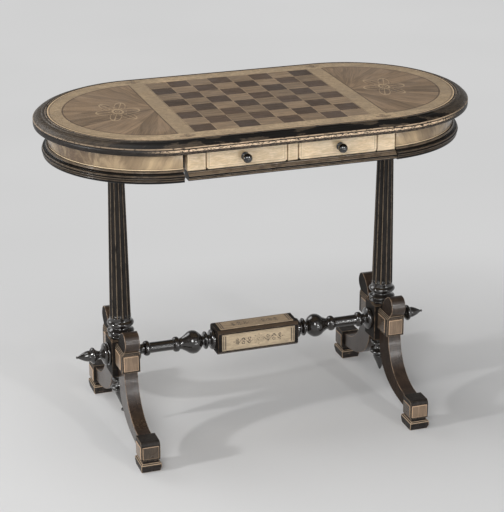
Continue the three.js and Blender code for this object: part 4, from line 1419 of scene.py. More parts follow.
def make_top():
    sizes = bpy.context.scene.table_top
    f = finishes()
    name = "edge_moulding"
    section = sweep_section(
        EDGE_RUNS, CORE_RADIUS + MOULDING_GAP, TOP_RADIUS, TOP_LOW.z, TOP_HIGH.z, sizes.edge_round
    )
    mesh = swept_mesh(name, stadium_stations(), section, True)
    show(name, mesh, [material_of("Edge moulding", edge_finish)], STAND, (f"top_{name}",))

    outer = half_round(1, STRAIGHT_HALF, CORE_RADIUS)
    outer += [(-x, -y) for x, y in outer]
    window = square_outline(BOARD_HALF + JOINT_GAP)
    holes = [half_round(side, PANEL_X - JOINT_GAP, PANEL_RADIUS + JOINT_GAP) for _, side in SIDES]
    top = TOP_HIGH.z
    band = plate_mesh("border_veneer", [outer, window, *holes], VENEER_FOOT, top)
    paint = material_of("Border veneer", border_finish)
    show("border_veneer", band, [paint], STAND, ("border_band",))
    paint = material_of("Fan veneer", fan_finish)
    for word, side in SIDES:
        name = f"fan_veneer_{word}"
        panel = plate_mesh(name, [half_round(side, PANEL_X, PANEL_RADIUS)], VENEER_FOOT, top)
        show(name, panel, [paint], STAND, (f"end_panel_{word}",))

    light = material_of("Light square", square_finish, f.square_light, 0.13)
    dark = material_of("Dark square", square_finish, f.square_dark, 0.18)
    values = {
        "Side": 2 * BOARD_HALF / sizes.squares, "Gap": sizes.stringing, "Count": sizes.squares,
        "Thickness": top - VENEER_FOOT, "Light": light, "Dark": dark,
    }
    squares = grown_mesh("board_squares", board_tree(), values)
    squares.transform(Matrix.Translation((0, 0, (top + VENEER_FOOT) / 2)))
    show("board_squares", squares, [dark, light], STAND, ("chessboard_panel",))
    low, high = VENEER_FOOT - STRINGING_DEPTH, top - sizes.relief
    lines = plate_mesh("board_stringing", [square_outline(BOARD_HALF)], low, high)
    show("board_stringing", lines, [timber("Stringing", "X")], STAND, ("chessboard_panel",))
    rounded_copy("top_board", BOARD_ROUND, timber("Pine", "X"))


# Case

# A base moulding's runs, as height and projection shares, from the frieze outwards and down
BASE_RUNS = (
    ((1.0, 0.0), (1.0, 0.70)), ((0.93, 0.70),), ((0.86, 0.715), (0.80, 0.76), (0.77, 0.82)),
    ((0.71, 0.82),), ((0.70, 0.90), (0.66, 0.945), (0.61, 0.955), (0.56, 0.94)), ((0.52, 0.945),),
    ((0.50, 0.985), (0.44, 1.0), (0.37, 0.99), (0.32, 0.955)), ((0.27, 0.915),),
    ((0.22, 0.94), (0.13, 0.95), (0.05, 0.93), (0.0, 0.88)), ((0.0, 0.0),), ((1.0, 0.0),),
)


def base_section(low, high):
    return sweep_section(BASE_RUNS, MOULDING_INNER, MOULDING_RADIUS, low, high, FINE_ROUND)


def drawer_outline(low, high, radius, steps=10):
    """A drawer front's outline, with its two lower corners rounded."""
    outline = [(low.x, high.z)]
    for middle, start in ((low.x + radius, math.pi), (high.x - radius, 1.5 * math.pi)):
        for i in range(steps + 1):
            turn = start + math.pi / 2 * i / steps
            outline.append((middle + radius * math.cos(turn), low.z + radius + radius * math.sin(turn)))
    return [*outline, (high.x, high.z)]


def lined_maple(name, low, high, inset, line):
    middle = ((low.x + high.x) / 2, (low.z + high.z) / 2)
    half = ((high.x - low.x) / 2, (high.z - low.z) / 2)
    return material_of(name, maple_finish, middle, half, inset, line)


def lined_stile(node, name):
    sizes = bpy.context.scene.table_case
    low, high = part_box(node)
    paint = lined_maple(name, low, high, sizes.line * 1.2, sizes.line)
    rounded_copy(node, sizes.edge_round, paint)


def brass_leaf(node):
    """Gives one of the frame's own hinge leaves its finish."""
    materials = frame["nodes"][node].data.materials
    materials.clear()
    materials.append(material_of("Aged brass", aged_brass))


CASE_RUB_AND_HIGHLIGHT = 1.2


def make_case():
    sizes = bpy.context.scene.table_case
    section = base_section(RUN_LOW.z, RUN_HIGH.z)
    paint = material_of(
        "Case moulding", moulding_finish, RUN_LOW.z, RUN_HIGH.z, (RUN_HIGH.x - RUN_LOW.x) / 2, CASE_RUB_AND_HIGHLIGHT,
        FRONT_RUBS_AND_HIGHLIGHTS, FRONT_GROOVE_SHADE,
    )
    for word, way in (("front", -1), ("back", 1)):
        name = f"case_moulding_{word}"
        mesh = swept_mesh(name, straight_stations(RUN_LOW.x, RUN_HIGH.x, way), section, False)
        show(name, mesh, [paint], STAND, (f"base_moulding_{word}",))
    for word, _ in SIDES:
        lined_stile(f"stile_{word}", f"Stile veneer, {word}")
        # The case's sides show in the seams, darkened as painted shade
        rounded_copy(f"case_side_{word}", sizes.edge_round, timber("Inner walnut", "Y"))
        rounded_copy(f"bearer_{word}", BEARER_ROUND, timber("Pine", "X"))
        brass_leaf(f"case_hinge_leaf_{word}")
    lined_stile("middle_partition", "Middle stile veneer")
    rounded_copy("case_back", sizes.edge_round, material_of("Back veneer", maple_finish))
    rounded_copy("case_bottom", sizes.edge_round, timber("Pine", "X"))


# Drawers

# A knob from its flange outwards, as length and radius shares. Its tip lies at the last share
KNOB_RUNS = (
    ((0.0, 0.0), (0.0, 0.84)), ((0.04, 0.9), (0.09, 0.88)), ((0.13, 0.62),),
    ((0.2, 0.47), (0.3, 0.44), (0.38, 0.52)),
    ((0.44, 0.78), (0.55, 0.97), (0.68, 1.0), (0.82, 0.86), (0.93, 0.55), (0.97, 0.25), (0.972, 0.0)),
)
KNOB_RADIUS = 0.0098


def make_drawers():
    sizes = bpy.context.scene.table_case
    tip = KNOB_RUNS[-1][-1][0]
    for word, _ in SIDES:
        body = f"{word}_drawer"
        low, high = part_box(f"drawer_front_{word}")
        outline = drawer_outline(low, high, sizes.corner)
        rings = [[(x, y, z) for x, z in outline] for y in (low.y, high.y)]
        face = new_build()
        loft_into(face, rings, sizes.edge_round, only(0))
        paint = lined_maple(f"Drawer veneer, {word}", low, high, sizes.line_inset, sizes.line)
        show_build(f"drawer_face_{word}", face, [paint], body, (f"drawer_front_{word}",))
        for part, axis in (("inner_side", "Y"), ("outer_side", "Y"), ("back", "X"), ("bottom", "X")):
            rounded_copy(f"drawer_{part}_{word}", BOARD_ROUND, timber("Pine", axis))
        node = f"drawer_knob_{word}"
        low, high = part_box(node)
        foot = Vector(((low.x + high.x) / 2, high.y, (low.z + high.z) / 2))
        turned_piece(
            f"knob_{word}", KNOB_RUNS, (high.y - low.y) / tip, KNOB_RADIUS, foot, Vector((0, -1, 0)),
            timber("Knob black", "Y"), body, node,
        )


# End compartments


def hang(mesh, side):
    """Mirrors a right-hand piece for the left, and turns it as far as that compartment stands ajar."""
    word = "right" if side > 0 else "left"
    joint = JOINTS[f"{word}_end_swing"]
    if side < 0:
        mesh.transform(Matrix.Scale(-1, 4, (1, 0, 0)))
        turn_outwards(mesh)
    ajar = -math.radians(joint["range_deg"][0])
    pivot = Vector(joint["pos_m"])
    turn = Matrix.Rotation(side * ajar, 4, "Z")
    mesh.transform(Matrix.Translation(pivot) @ turn @ Matrix.Translation(-pivot))
    return mesh


def seam_of(side):
    """How far from the top's middle a compartment's inner side starts when it is shut."""
    return END_SEAM + (side - 1) * CASE_MIDDLE


FRIEZE_WALL = 0.012


def make_ends():
    sizes = bpy.context.scene.table_case
    inner, outer = FRIEZE_RADIUS - FRIEZE_WALL, FRIEZE_RADIUS
    low, high = END_WALL_FOOT, END_WALL_TOP
    corners = [Vector(corner) for corner in ((inner, low), (inner, high), (outer, high), (outer, low))]
    wall = eased(corners, sizes.edge_round, True, -1)
    moulding = base_section(END_MOULDING_FOOT, END_FLOOR)
    veneer = material_of("Flame veneer", flame_finish)
    black = material_of("Curved moulding", moulding_finish, END_MOULDING_FOOT, END_FLOOR, TOP_HIGH.x, 1.0)
    for word, side in SIDES:
        body = f"{word}_end"
        stations = arc_stations(seam_of(side))
        frieze = hang(swept_mesh(f"curved_frieze_{word}", stations, wall, False, True), side)
        show(f"curved_frieze_{word}", frieze, [veneer], body, (f"end_frieze_{word}",))
        name = f"curved_moulding_{word}"
        mesh = hang(swept_mesh(name, stations, moulding, False), side)
        show(name, mesh, [black], body, (f"end_base_moulding_{word}",))
        # The compartments' inner sides show in the seams, darkened as painted shade
        rounded_copy(f"end_inner_side_{word}", sizes.edge_round, timber("Inner walnut", "Y"))
        rounded_copy(f"end_bottom_{word}", FINE_ROUND, timber("Pine", "X"))
        brass_leaf(f"end_hinge_leaf_{word}")


# Columns

# The column's base from the post upwards, as height and radius shares
COLUMN_BASE_RUNS = (
    ((0.0, 0.0), (0.0, 0.87)), ((0.03, 0.93), (0.07, 0.93), (0.105, 0.86)), ((0.14, 0.81),),
    ((0.18, 0.93), (0.26, 1.0), (0.33, 0.93)), ((0.355, 0.82),),
    ((0.42, 0.7), (0.475, 0.67), (0.53, 0.71)), ((0.55, 0.83),),
    ((0.595, 0.945), (0.67, 0.99), (0.745, 0.95), (0.8, 0.86)), ((0.83, 0.81),),
    ((0.92, 0.79), (1.0, 0.787)), ((1.0, 0.0),),
)


UPWARDS = Vector((0, 0, 1))
SHAFT_SHARP = 50


def make_columns():
    sizes = bpy.context.scene.table_stand
    tree = shaft_tree()
    fluted = timber("Rubbed arrises")
    for word, side in SIDES:
        node = f"column_{word}"
        low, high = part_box(node)
        foot = Vector((side * COLUMN_X, 0, low.z))
        turned_piece(
            f"column_base_{word}", COLUMN_BASE_RUNS, sizes.base_height, sizes.base_radius, foot, UPWARDS,
            timber("Ebonized"), STAND, node,
        )
        start = low.z + sizes.base_height
        values = {
            "Foot radius": sizes.shaft_foot, "Head radius": sizes.shaft_head, "Height": high.z - start,
            "Flutes": sizes.flutes, "Depth": sizes.flute_depth, "Fillet": sizes.fillet,
            "Start": sizes.flute_start, "Material": fluted,
        }
        mesh = grown_mesh(f"column_shaft_{word}", tree, values)
        mesh.transform(Matrix.Translation((side * COLUMN_X, 0, start)))
        show(f"column_shaft_{word}", mesh, [fluted], STAND, (node,), SHAFT_SHARP)


# Posts, pendants and finials

# A pendant from its tip upwards
PENDANT_RUNS = (
    ((0.0, 0.0), (0.0, 0.04)),
    ((0.02, 0.1), (0.085, 0.19), (0.24, 0.42), (0.36, 0.6), (0.41, 0.65), (0.46, 0.62)), ((0.49, 0.5),),
    ((0.505, 0.56),), ((0.52, 0.86), (0.545, 0.97), (0.57, 1.0), (0.6, 0.96), (0.62, 0.84)),
    ((0.632, 0.64),), ((0.66, 0.51), (0.7, 0.47), (0.74, 0.49), (0.772, 0.58)), ((0.785, 0.7),),
    ((0.8, 0.84), (0.83, 0.88), (0.86, 0.84), (0.875, 0.7)), ((0.885, 0.6),),
    ((0.92, 0.6), (0.96, 0.68), (1.0, 0.86)), ((1.0, 0.0),),
)

# A finial from the post outwards, whose tip lies at the last share
FINIAL_RUNS = (
    ((0.0, 0.0), (0.0, 0.95)), ((0.025, 1.0), (0.05, 0.99), (0.068, 0.93)), ((0.078, 0.87),),
    ((0.098, 0.94), (0.125, 0.955), (0.15, 0.92)),
    ((0.175, 0.82), (0.2, 0.64), (0.225, 0.47), (0.26, 0.35), (0.3, 0.33), (0.34, 0.36)),
    ((0.4, 0.51), (0.44, 0.66), (0.46, 0.7)), ((0.49, 0.705), (0.515, 0.67)), ((0.57, 0.47),),
    ((0.61, 0.47), (0.66, 0.45), (0.76, 0.345), (0.86, 0.19), (0.925, 0.08)),
    ((0.94, 0.105), (0.955, 0.112), (0.97, 0.09), (0.98, 0.0)),
)

# The ball under the left pendant
PENDANT_BALL_RUNS = (
    ((0.0, 0.0), (0.05, 0.42), (0.25, 0.86), (0.5, 1.0), (0.72, 0.9), (0.84, 0.6)), ((0.88, 0.36),),
    ((1.2, 0.36),), ((1.2, 0.0),),
)


def make_posts():
    sizes = bpy.context.scene.table_stand
    low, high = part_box("pendant_right")
    tip, top, radius = low.z, high.z, (high.x - low.x) / 2
    end = FINIAL_RUNS[-1][-1][0]
    for word, side in SIDES:
        rounded_copy(f"post_{word}", sizes.edge_round, timber("Dull black"))
        turned_piece(
            f"pendant_turning_{word}", PENDANT_RUNS, top - tip, radius, Vector((side * COLUMN_X, 0, tip)),
            UPWARDS, timber("Ebonized"), STAND, f"pendant_{word}",
        )
        low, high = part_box(f"finial_{word}")
        foot = Vector((low.x if side > 0 else high.x, 0, STRETCHER_Z))
        turned_piece(
            f"finial_turning_{word}", FINIAL_RUNS, (high.x - low.x) / end, (high.z - low.z) / 2, foot,
            Vector((side, 0, 0)), timber("Ebonized", "X"), STAND, f"finial_{word}",
        )
    # Only the left pendant still has the ball at its tip
    foot = Vector((-COLUMN_X, 0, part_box("pendant_left")[0].z))
    turned_piece(
        "pendant_ball", PENDANT_BALL_RUNS, 2 * sizes.ball, sizes.ball, foot, UPWARDS, timber("Ebonized"),
        STAND, "pendant_left",
    )


# Stretcher

# A stretcher turning from the post towards the box
TURNING_RUNS = (
    ((0.0, 0.0), (0.0, 0.92)), ((0.02, 0.96), (0.045, 0.95), (0.06, 0.86)), ((0.062, 0.68),),
    ((0.075, 0.47), (0.095, 0.42), (0.118, 0.45)),
    ((0.125, 0.56), (0.14, 0.63), (0.157, 0.65), (0.174, 0.63), (0.188, 0.56)), ((0.195, 0.46),),
    ((0.34, 0.45), (0.485, 0.455)),
    ((0.49, 0.55), (0.505, 0.63), (0.525, 0.655), (0.545, 0.63), (0.557, 0.56)), ((0.563, 0.49),),
    ((0.59, 0.5), (0.64, 0.7), (0.685, 0.92), (0.73, 1.0), (0.775, 0.95), (0.815, 0.75), (0.838, 0.56)),
    ((0.847, 0.4),), ((0.867, 0.4),),
    ((0.871, 0.62), (0.88, 0.74), (0.893, 0.77), (0.905, 0.73), (0.914, 0.6)), ((0.92, 0.44),),
    ((0.945, 0.44),), ((0.95, 0.72), (0.965, 0.85), (0.985, 0.87), (1.0, 0.85)), ((1.0, 0.0),),
)


CARCASS, FRONT_VENEER, TOP_VENEER, CHAMFER_WOOD = range(4)


def carcass_face(face):
    """Only the sloping faces of the box are chamfers."""
    return CHAMFER_WOOD if min(abs(face.normal.y), abs(face.normal.z)) > 0.4 else CARCASS


def make_stretcher():
    for word, side in SIDES:
        node = f"stretcher_turning_{word}"
        low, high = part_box(node)
        foot = Vector((high.x if side > 0 else low.x, 0, STRETCHER_Z))
        turned_piece(
            f"stretcher_baluster_{word}", TURNING_RUNS, high.x - low.x, (high.z - low.z) / 2, foot,
            Vector((-side, 0, 0)), timber("Ebonized", "X"), STAND, node,
        )
    x, y, z = BOX_HIGH.x - BOX_PROUD, BOX_HIGH.y - BOX_PROUD, (BOX_HIGH.z - BOX_LOW.z) / 2 - BOX_PROUD
    cut_y, cut_z = y - BOX_CHAMFER, z - BOX_CHAMFER
    half = ((cut_y, -z), (y, -cut_z), (y, cut_z), (cut_y, z))
    outline = (*half, *((-a, -b) for a, b in half))
    build = new_build()
    loft_into(build, [[(end, a, b) for a, b in outline] for end in (-x, x)], BOX_ROUND, carcass_face)
    inner_x, inner_y, inner_z = x - BOX_MARGIN, y - BOX_MARGIN, z - BOX_MARGIN
    for way in (-1, 1):
        # From where to where each panel goes outwards through its face
        in_x, in_y, in_z = (way * (size - BOX_SUNK) for size in (x, y, z))
        out_x, out_y, out_z = (way * (size + BOX_PROUD) for size in (x, y, z))
        for corner, opposite, paint in (
            ((-inner_x, in_y, -inner_z), (inner_x, out_y, inner_z), FRONT_VENEER),
            ((-inner_x, -inner_y, in_z), (inner_x, inner_y, out_z), TOP_VENEER),
            ((in_x, -inner_y, -inner_z), (out_x, inner_y, inner_z), CARCASS),
        ):
            block_into(build, corner, opposite, FINE_ROUND, only(paint))
    bmesh.ops.translate(build, verts=build.verts, vec=(0, 0, STRETCHER_Z))
    paints = [
        timber("Dull black", "X"), material_of("Box front veneer", box_panel_finish, True),
        material_of("Box top veneer", box_panel_finish, False), timber("Box chamfer", "X"),
    ]
    show_build("stretcher_casket", build, paints, STAND, ("stretcher_box",))


# Legs and feet

# The scrolled head above the knee, as reach and rise shares
HEAD_SHARES = (
    (0.17, 0.13), (0.22, 0.45), (0.42, 0.78), (0.58, 0.94), (0.68, 1.0),
    (0.86, 0.95), (0.97, 0.76), (1.0, 0.53), (0.94, 0.32), (0.81, 0.13),
)
OUTER_CURVE_SHARES = ((0.012, 0.55), (0.32, 0.03))
INNER_CURVE_SHARES = ((0.01, 0.4), (0.3, 0.05))
SWEEP_STEPS = 34


def bezier(start, end, shares, steps=SWEEP_STEPS):
    """A curve from start down to end, with its handles given as shares of the spread and the height."""
    handles = [
        Vector((start.x + out * (end.x - start.x), end.y + up * (start.y - end.y))) for out, up in shares
    ]
    made = []
    for i in range(steps + 1):
        t = i / steps
        near, far = 3 * (1 - t) ** 2 * t * handles[0], 3 * (1 - t) * t * t * handles[1]
        made.append((1 - t) ** 3 * start + near + far + t ** 3 * end)
    return made


# The knee block: how far its panels and mouldings stand in from its edges, and the steps of its moulding
KNEE_MARGIN = 0.004
KNEE_LIP = 0.003
KNEE_STEP = 0.0034
KNEE_INSET = 0.0014
# Panels reach a little way into their blocks, and so do blocks that meet
SUNK = 0.001
KNEE_PANEL_ROUND = 0.0014
HEAD_STEPS = 7


def leg_outlines(sizes):
    """Depth and height of the leg board and of its scrolled head, from the column's axis outwards."""
    near = -LEG_HIGH.y
    reach = -LEG_LOW.y
    face = near + sizes.knee_depth
    rise = LEG_HIGH.z - sizes.knee_head
    top = sizes.knee_head - KNEE_MARGIN
    foot = sizes.knee_head
    points = [Vector((near + out * sizes.head_reach, foot + up * rise)) for out, up in HEAD_SHARES]
    head = [Vector((points[0].x, top)), *curve_through(points, HEAD_STEPS), Vector((face, top))]
    front = face - KNEE_LIP
    outer = bezier(Vector((front, sizes.knee_foot)), Vector((reach, sizes.end_high)), OUTER_CURVE_SHARES)
    start = Vector((near, sizes.knee_foot - sizes.knee_half))
    inner = bezier(start, Vector((reach, sizes.end_low)), INNER_CURVE_SHARES)
    return [Vector((near, top)), Vector((front, top)), *outer, *reversed(inner)], head


def board_into(build, outline, thickness, width, material_for):
    """Adds a board of the given outline in depth and height, with its thickness along X about nought."""
    rings = [[(way * thickness / 2, p.x, p.y) for p in outline] for way in (-1, 1)]
    loft_into(build, rings, width, material_for, SHARP_CORNER)


WOOD, PANEL, DULL, BLACK, SIDE_PANEL = range(5)


def dull_sides(face):
    """The sides of the heads are dull, and their fronts are polished."""
    return DULL if abs(face.normal.x) > 0.95 else WOOD


def leg_build(sizes, dark):
    """One leg that stands away from the axis along +Y. A dark leg has dull sides, painted darker as shade.
    """
    board, head = leg_outlines(sizes)
    build = new_build()
    board_into(build, board, sizes.leg_thickness, sizes.edge_round, dull_sides if dark else only(WOOD))
    board_into(build, head, sizes.head_thickness, sizes.edge_round, dull_sides)
    near = -LEG_HIGH.y
    face = near + sizes.knee_depth
    wide, foot, top = sizes.knee_half, sizes.knee_foot, sizes.knee_head
    fine = sizes.edge_round / 2
    block_into(build, (-wide, near, foot), (wide, face, top), fine, only(BLACK))
    low, high = foot + KNEE_MARGIN, top - KNEE_MARGIN
    block_into(
        build, (-wide + KNEE_MARGIN, face - SUNK, low), (wide - KNEE_MARGIN, face + sizes.panel, high),
        KNEE_PANEL_ROUND, only(PANEL),
    )
    for way in (-1, 1):
        block_into(
            build, (way * (wide - SUNK), near + KNEE_MARGIN, low),
            (way * (wide + sizes.panel), face - 3 * KNEE_MARGIN, high), KNEE_PANEL_ROUND, only(SIDE_PANEL),
        )
    for step, lip in ((1, 1.0), (2, 1.5)):
        half, height = wide - step * KNEE_INSET, top + step * KNEE_STEP
        block_into(
            build, (-half, near, height - KNEE_STEP - SUNK), (half, face + lip * KNEE_LIP, height), fine,
            only(BLACK),
        )
    return build


def stack_into(build, levels, width, at_least=math.radians(20)):
    """Adds upright square levels, each a height, a half width, a near and a far depth, as one block."""
    rings = [
        ((-half, near, z), (half, near, z), (half, far, z), (-half, far, z)) for z, half, near, far in levels
    ]
    loft_into(build, rings, width, only(BLACK), at_least)


# Sizes of a foot, from its pad upwards
PAD_HEIGHT = 0.022
PAD_REACH = 0.0015
NECK_HEIGHT = 0.006
NECK_ROUND = 0.0004
FOOT_START = 0.007
FOOT_DEPTH = 0.042
FOOT_ROUND_TOP = 0.009
FOOT_PANEL = 0.0014
FOOT_PANEL_ROUND = 0.0012
FOOT_ROUND = 0.001


def foot_build():
    """One foot with its block, neck and pad, standing away along +Y."""
    low_y, high_y = -FOOT_HIGH.y, -FOOT_LOW.y
    pad_half = (FOOT_HIGH.x - FOOT_LOW.x) / 2
    half = pad_half - PAD_REACH
    near = low_y + FOOT_START
    far = near + FOOT_DEPTH
    top = FOOT_HIGH.z
    bevel, chamfer = PAD_HEIGHT / 2, NECK_HEIGHT / 2
    build = new_build()
    pad = [
        (0.0, pad_half - bevel / 6, low_y + chamfer, high_y - 2 * chamfer),
        (bevel, pad_half, low_y, high_y),
        (PAD_HEIGHT - chamfer, pad_half, low_y, high_y),
        (PAD_HEIGHT, pad_half - chamfer, low_y + chamfer, high_y - chamfer),
    ]
    stack_into(build, pad, FOOT_ROUND, SHARP_CORNER)
    block_low = PAD_HEIGHT + NECK_HEIGHT
    neck = (half - chamfer, near + chamfer / 2, far - chamfer)
    stack_into(build, [(PAD_HEIGHT - SUNK, *neck), (block_low + SUNK, *neck)], NECK_ROUND)
    body = [(block_low, half, near, far), (top - FOOT_ROUND_TOP, half, near, far)]
    steps = 6
    for i in range(1, steps + 1):
        turn = math.pi / 2 * i / steps
        rise, back = FOOT_ROUND_TOP * (1 - math.sin(turn)), FOOT_ROUND_TOP * (1 - math.cos(turn))
        body.append((top - rise, half, near, far - back))
    stack_into(build, body, FOOT_ROUND)
    margin = FOOT_ROUND_TOP / 3
    low, high = block_low + margin, top - FOOT_ROUND_TOP - margin / 2
    block_into(
        build, (-half + margin, far - SUNK, low), (half - margin, far + FOOT_PANEL, high), FOOT_PANEL_ROUND,
        only(PANEL),
    )
    for way in (-1, 1):
        start, end = way * (half - SUNK), way * (half + FOOT_PANEL)
        block_into(
            build, (start, near + margin, low), (end, far - margin, high), FOOT_PANEL_ROUND, only(SIDE_PANEL)
        )
    return build


# The front panels of these feet have gone dark
DARK_FEET = ("foot_front_left", "foot_rear_right")
# The sides of the right front leg and foot, and the side panels of the right rear ones, are painted darker:
# painted shade
PAINTED_SHADE_SIDES = "front_right"


def make_legs():
    sizes = bpy.context.scene.table_stand
    for place, way in (("front", -1), ("rear", 1)):
        for word, side in SIDES:
            set_up = Matrix.Translation((side * COLUMN_X, 0, 0)) @ Matrix.Scale(way, 4, (0, 1, 0))
            dark = f"{place}_{word}" == PAINTED_SHADE_SIDES
            for part, name in (("leg", "scrolled_leg"), ("foot", "foot_block")):
                build = leg_build(sizes, dark) if part == "leg" else foot_build()
                bmesh.ops.transform(build, matrix=set_up, verts=build.verts)
                if way < 0:
                    bmesh.ops.reverse_faces(build, faces=build.faces)
                node = f"{part}_{place}_{word}"
                panel = timber("Darkened panel" if node in DARK_FEET else "Walnut panel")
                # Side panels of the right legs and feet: painted shade
                side_in_painted_shade = dark or place == "rear" and side > 0
                paints = [
                    timber("Walnut"), panel, timber("Dull brown" if dark else "Dull black"),
                    timber("Ebonized block"), timber("Darkened panel" if side_in_painted_shade else "Walnut panel"),
                ]
                show_build(f"{name}_{place}_{word}", build, paints, STAND, (node,))


# Studio

CAMERA_PLACE = Vector((-1.1771, -3.4505, 1.7748))
CAMERA_TURN = math.radians(18.76)
CAMERA_TILT = math.radians(21.06)
CAMERA_ROLL = math.radians(-0.075)
CAMERA_LENS = 123.63


# Each light's place, the point it looks at, its size, and its height where it isn't round
LIGHTS = {
    "Side": ((-3.6, -0.5, 1.3), (0, 0, 0.2), 0.22, None),
    "Overhead": ((-1.2, 0.2, 6.0), (0, 0.2, 0), 4.2, None),
    "Front": ((1.5, -4.4, 1.9), (0, 0, 0.4), 0.34, None),
    "Panel": ((1.6, -5.0, 2.8), (0, 0, 0.4), 3.4, 5.0),
    "Low": ((1.0, -2.8, 0.08), (0, 0, 0.35), 1.8, 0.12),
    "Back": ((-2.6, 3.8, 3.4), (0, 0, 0.4), 2.6, None),
    "Fill": ((-2.3, -4.3, 3.1), (0, 0, 0.4), 2.2, None),
}


def area_light(name, power, place, target, size, high):
    """A round light, or one of the given width and height."""
    light = bpy.data.lights.new(name, "AREA")
    light.shape = "RECTANGLE" if high else "DISK"
    light.size = size
    if high:
        light.size_y = high
    light.energy = power
    holder = bpy.data.objects.new(name, light)
    holder.location = place
    holder.rotation_euler = (Vector(target) - Vector(place)).to_track_quat("-Z", "Y").to_euler()
    bpy.context.scene.collection.objects.link(holder)


def make_camera():
    lens = bpy.data.cameras.new("Camera")
    lens.lens = CAMERA_LENS
    lens.sensor_width = 36
    lens.clip_end = 60
    holder = bpy.data.objects.new("Camera", lens)
    look = Vector((
        math.sin(CAMERA_TURN) * math.cos(CAMERA_TILT), math.cos(CAMERA_TURN) * math.cos(CAMERA_TILT),
        -math.sin(CAMERA_TILT),
    ))
    turn = look.to_track_quat("-Z", "Y").to_matrix().to_4x4() @ Matrix.Rotation(CAMERA_ROLL, 4, "Z")
    holder.matrix_world = Matrix.Translation(CAMERA_PLACE) @ turn
    bpy.context.scene.collection.objects.link(holder)
    bpy.context.scene.camera = holder


def studio_wall():
    """Heights between which the backdrop's wall fades from the room's shade down to the paper's."""
    studio = bpy.context.scene.table_studio
    return studio.wall_dark, studio.wall_pale


def backdrop_finish(name):
    """Pale paper. Away from the table the camera sees its plain colour, so the background is even."""
    f, studio = finishes(), bpy.context.scene.table_studio
    material, shader, place = new_material(name, 0.9)
    mottled = noise(place, 0.9, 2.0)
    shade = between(mottled, 0.3, 0.7, 0.985, 1.015)
    base = shaded(f.backdrop, shade)
    set_input(shader.inputs["Base Color"], base)
    x, y, z = split(place)
    away = distance(joined(times(x, 0.6), y))
    far = both(
        between(away, studio.shadow_reach, studio.shadow_reach * 2.4, studio.paper_glow, 1.0),
        between(z, *studio_wall(), 0.05, 1.0),
    )
    tree = material.node_tree
    path = tree.nodes.new("ShaderNodeLightPath").outputs
    seen = either(path["Is Camera Ray"], either(path["Is Glossy Ray"], path["Is Transmission Ray"]))
    plain = add_node("ShaderNodeEmission", {"Color": base, "Strength": 1.0}).outputs[0]
    mixed = add_node("ShaderNodeMixShader", {0: both(far, seen), 1: shader.outputs[0], 2: plain})
    set_input(tree.nodes["Material Output"].inputs["Surface"], mixed.outputs[0])
    return material


def make_stage():
    studio = bpy.context.scene.table_studio
    inner, reach, bend, rise, steps, around = 0.5, 12.0, 3.0, 8.0, 24, 96
    profile = [(inner, 0.0), (reach - bend, 0.0)]
    for i in range(1, steps + 1):
        turn = math.pi / 2 * i / steps
        profile.append((reach - bend + bend * math.sin(turn), bend * (1 - math.cos(turn))))
    profile.append((reach, rise))
    turns = [2 * math.pi * i / around for i in range(around)]
    corners = [(out * math.cos(turn), out * math.sin(turn), z) for out, z in profile for turn in turns]
    faces = [tuple(range(around))]
    for ring in range(len(profile) - 1):
        low, high = ring * around, (ring + 1) * around
        for i in range(around):
            j = (i + 1) % around
            faces.append((low + j, low + i, high + i, high + j))
    mesh = mesh_from("backdrop", corners, faces)
    mesh.materials.append(material_of("Backdrop paper", backdrop_finish))
    mesh.shade_smooth()
    floor = bpy.data.objects.new("backdrop", mesh)
    bpy.context.scene.collection.objects.link(floor)

    world = bpy.data.worlds.new("Studio")
    world.use_nodes = True
    sky = world.node_tree.nodes["Background"]
    sky.inputs["Color"].default_value = (1, 1, 1, 1)
    sky.inputs["Strength"].default_value = studio.room
    bpy.context.scene.world = world
    for name, values in LIGHTS.items():
        area_light(name, getattr(studio, name.lower()), *values)
    bpy.context.scene.view_settings.view_transform = "Standard"


# Operators and panel


class Build(bpy.types.Operator):
    """Base of the table's operators"""

    bl_options = {"REGISTER", "UNDO"}
    maker = None

    def execute(self, context):
        type(self).maker()
        return {"FINISHED"}


class OBJECT_OT_table_camera(Build):
    """Place the camera"""

    bl_idname = "object.table_camera"
    bl_label = "Camera"
    maker = staticmethod(make_camera)


class OBJECT_OT_table_stage(Build):
    """Make the floor, the backdrop and the lights"""

    bl_idname = "object.table_stage"
    bl_label = "Stage"
    maker = staticmethod(make_stage)


class OBJECT_OT_table_top(Build):
    """Make the edge moulding, the border, the end panels and the board"""

    bl_idname = "object.table_top"
    bl_label = "Top"
    maker = staticmethod(make_top)


class OBJECT_OT_table_case(Build):
    """Make the case with its mouldings, stiles and bearers"""

    bl_idname = "object.table_case"
    bl_label = "Case"
    maker = staticmethod(make_case)


class OBJECT_OT_table_drawers(Build):
    """Make the two drawers and their knobs"""

    bl_idname = "object.table_drawers"
    bl_label = "Drawers"
    maker = staticmethod(make_drawers)


class OBJECT_OT_table_ends(Build):
    """Make the two round end compartments"""

    bl_idname = "object.table_ends"
    bl_label = "End compartments"
    maker = staticmethod(make_ends)


class OBJECT_OT_table_columns(Build):
    """Make the two fluted columns"""

    bl_idname = "object.table_columns"
    bl_label = "Columns"
    maker = staticmethod(make_columns)


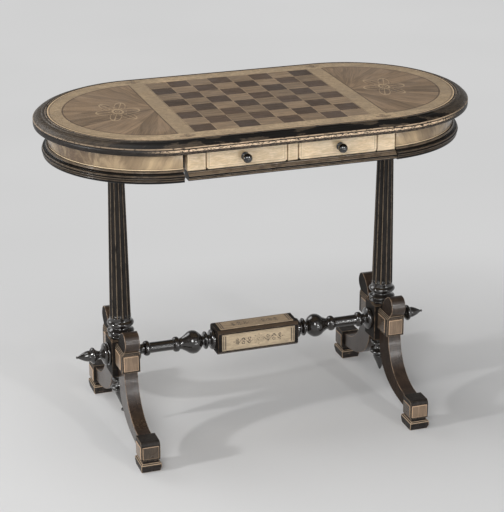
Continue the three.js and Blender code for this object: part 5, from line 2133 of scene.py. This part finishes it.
class OBJECT_OT_table_posts(Build):
    """Make the posts, pendants and finials"""

    bl_idname = "object.table_posts"
    bl_label = "Posts"
    maker = staticmethod(make_posts)


class OBJECT_OT_table_stretcher(Build):
    """Make the turned stretcher and its box"""

    bl_idname = "object.table_stretcher"
    bl_label = "Stretcher"
    maker = staticmethod(make_stretcher)


class OBJECT_OT_table_legs(Build):
    """Make the four scrolled legs and their feet"""

    bl_idname = "object.table_legs"
    bl_label = "Legs"
    maker = staticmethod(make_legs)


OPERATORS = (
    OBJECT_OT_table_camera, OBJECT_OT_table_stage, OBJECT_OT_table_top, OBJECT_OT_table_case,
    OBJECT_OT_table_drawers, OBJECT_OT_table_ends, OBJECT_OT_table_columns, OBJECT_OT_table_posts,
    OBJECT_OT_table_stretcher, OBJECT_OT_table_legs,
)


class VIEW3D_PT_games_table(bpy.types.Panel):
    """Lists the table's operators"""

    bl_idname = "VIEW3D_PT_games_table"
    bl_label = "Games Table"
    bl_space_type = "VIEW_3D"
    bl_region_type = "UI"
    bl_category = "Games Table"

    def draw(self, context):
        for operator in OPERATORS:
            self.layout.operator(operator.bl_idname)
        for name in SETTINGS:
            box = self.layout.box()
            settings = getattr(context.scene, name)
            for prop in type(settings).__annotations__:
                box.prop(settings, prop)


SETTINGS = {
    "table_top": TopSettings,
    "table_case": CaseSettings,
    "table_stand": StandSettings,
    "table_finishes": FinishSettings,
    "table_studio": StudioSettings,
}


def register():
    for group in SETTINGS.values():
        bpy.utils.register_class(group)
    for operator in OPERATORS:
        bpy.utils.register_class(operator)
    bpy.utils.register_class(VIEW3D_PT_games_table)
    for name, group in SETTINGS.items():
        setattr(bpy.types.Scene, name, bpy.props.PointerProperty(type=group))


def unregister():
    for name in SETTINGS:
        delattr(bpy.types.Scene, name)
    bpy.utils.unregister_class(VIEW3D_PT_games_table)
    for operator in reversed(OPERATORS):
        bpy.utils.unregister_class(operator)
    for group in reversed(tuple(SETTINGS.values())):
        bpy.utils.unregister_class(group)


def main():
    register()
    for operator in OPERATORS:
        group, name = operator.bl_idname.split(".")
        getattr(getattr(bpy.ops, group), name)()


if __name__ == "__main__":
    main()
